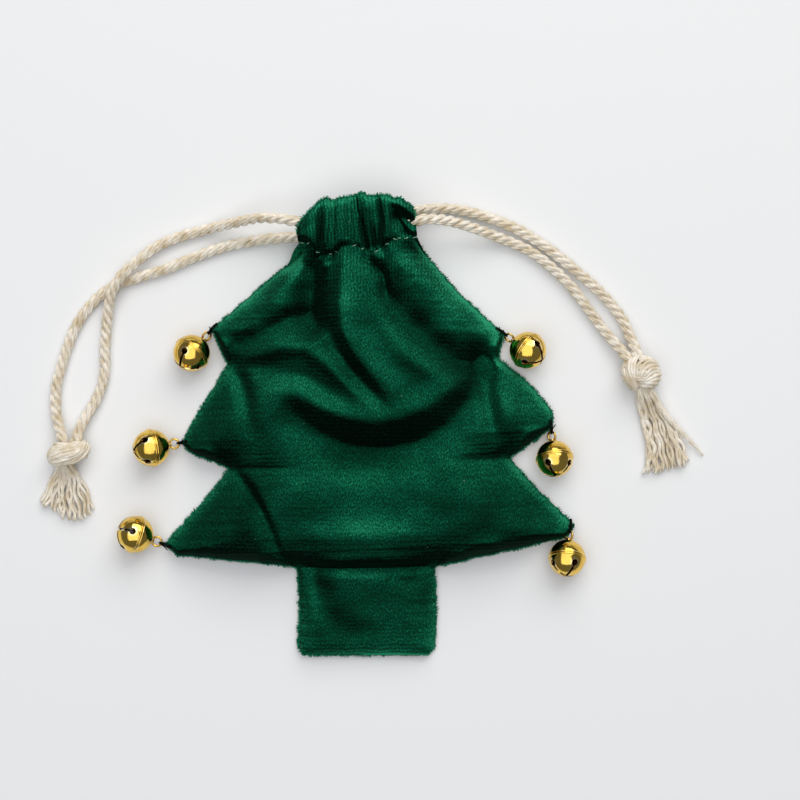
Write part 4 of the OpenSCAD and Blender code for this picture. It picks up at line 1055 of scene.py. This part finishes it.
PLATE_GOLD, WORN_BRASS, DULLED = "#edc65c", "#f8eab8", "#c4963a"
bell_gold, gold_tree, gold_shader = new_material("gold_plated_brass", PLATE_GOLD, 0.2, Metallic=1.0)
on_bell = (add(gold_tree, "TexCoord"), "Object")
gold_clouds = add(gold_tree, "TexNoise", {"Vector": on_bell, "Scale": 1 / (3.2 * MM), "Detail": 4.0,
                                          "Roughness": 0.6})
gold_specks = add(gold_tree, "TexNoise", {"Vector": on_bell, "Scale": 1 / (0.35 * MM), "Detail": 2.0})
gold_edge = add(gold_tree, "NewGeometry")
gold_worn = add(gold_tree, "MapRange", {"Value": (gold_edge, "Pointiness"), "From Min": 0.52, "From Max": 0.6,
                                        "To Min": 0.0, "To Max": 0.85})
gold_dull = add(gold_tree, "MapRange", {"Value": gold_clouds, "From Min": 0.48, "From Max": 0.72,
                                        "To Min": 0.0, "To Max": 0.55})
gold_base = add(gold_tree, "MixRGB", {"Fac": gold_dull, "Color1": linear(PLATE_GOLD),
                                      "Color2": linear(DULLED)})
gold_colour = add(gold_tree, "MixRGB", {"Fac": gold_worn, "Color1": gold_base, "Color2": linear(WORN_BRASS)})
gold_rough = add(gold_tree, "MapRange", {"Value": gold_clouds, "From Min": 0.3, "From Max": 0.7,
                                         "To Min": 0.06, "To Max": 0.15})
gold_both = add(gold_tree, "Math", {0: gold_clouds, 1: 6.0, 2: gold_specks}, operation="MULTIPLY_ADD")
gold_bump = add(gold_tree, "Bump", {"Height": gold_both, "Strength": 0.3, "Distance": 0.04 * MM})
feed(gold_shader, {"Base Color": gold_colour, "Roughness": gold_rough, "Normal": gold_bump})


def patterned_metal(name, colour, roughness, kind, texture, stops, strength, depth):
    """A metal whose colour and relief both follow one texture over its surface."""
    metal, tree, shader = new_material(name, colour, roughness, Metallic=1.0)
    at = add(tree, "TexCoord")
    pattern = add(tree, kind, {"Vector": (at, "Object"), **texture})
    shades = add(tree, "ValToRGB", {"Fac": pattern}, stops=stops)
    relief = add(tree, "Bump", {"Height": pattern, "Strength": strength, "Distance": depth})
    feed(shader, {"Base Color": shades, "Normal": relief})
    return metal


# The eye is a ring of drawn brass wire, plated like the cups, with drawing lines round it.
eye_wire = patterned_metal("gold_plated_wire", "#dfb655", 0.24, "TexNoise",
                           {"Scale": 1 / (0.3 * MM), "Detail": 3.0}, {0.35: "#b08a35", 0.65: "#e6c468"},
                           0.3, 0.02 * MM)

# The pellet is a cut and tumbled steel ball, dull with small flats.
pellet_steel = patterned_metal("tumbled_steel", "#8d8f92", 0.42, "TexVoronoi", {"Scale": 1 / (0.7 * MM)},
                               {0.1: "#9c9ea1", 0.8: "#6c6d70"}, 0.4, 0.05 * MM)

BELLS = ("upper_left", "middle_left", "lower_left", "upper_right", "middle_right", "lower_right")
METALS = {"crown": bell_gold, "base": bell_gold, "eye": eye_wire, "pellet": pellet_steel}
for bell in BELLS:
    for part, made_of in METALS.items():
        slots = frame["nodes"][f"{bell}_bell_{part}"].data.materials
        slots.clear()
        slots.append(made_of)

# ---- Bell threads ----
# Each bell is tied on with three turns of black spun polyester through its eye and at the tip of the cloth,
# knotted on top with two short cut ends.

LOOP_R, THREAD_D = 1.9 * MM, 0.3 * MM
tie_thread = spun_thread("black_spun_thread", "#080d0b", 0.95, 0.5, "#030504", "#0d1411", bump=0.7,
                         Specular_IOR_Level=0.08)

thread_random = np.random.default_rng(17)
lifts = {joint["child"]: joint for joint in frame["joints"] if joint["name"].endswith("_loop_lift")}
for bell in BELLS:
    lift = lifts[bell + "_loop"]
    middle, aside = np.array(lift["pos_m"]), np.array(lift["axis"])
    out, up = np.array([-aside[1], aside[0], 0]), np.array([0, 0, 1.0])
    turns = []
    angle = np.linspace(0, 2 * math.pi, 40)[:, None]
    for k in (-1, 0, 1):
        spread = (0.1 + 0.2 * np.sin(angle) ** 2) * k * MM
        radius = LOOP_R + 0.08 * MM * np.sin(2 * angle + k) * np.sin(angle) ** 2
        turns.append(middle + radius * (np.cos(angle) * out + np.sin(angle) * up) + spread * aside)
    knot_at = middle + LOOP_R * (0.25 * out + 0.99 * up)
    coil = np.linspace(0, 4 * math.pi, 50)[:, None]
    turns.append(knot_at + 0.26 * MM * (np.cos(coil) * up + np.sin(coil) * aside)
                 + (coil / (4 * math.pi) - 0.5) * 0.7 * MM * out)
    for k, side in enumerate((-1, 1)):
        t = np.linspace(0, 1, 16)[:, None]
        away = aside * side * thread_random.uniform(0.6, 1.0) - out * thread_random.uniform(0.1, 0.8)
        end = knot_at + t * thread_random.uniform(0.9, 1.7) * MM * away + up * MM * (0.5 * t - 1.1 * t ** 2)
        turns.append(end + 0.12 * MM * np.sin(t * 5 + k) * out)
    wraps = yarn_piece(bell + "_thread_turns", turns, THREAD_D, tie_thread, sides=6)
    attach(wraps, bell + "_loop")
    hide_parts(bell + "_bell_thread")
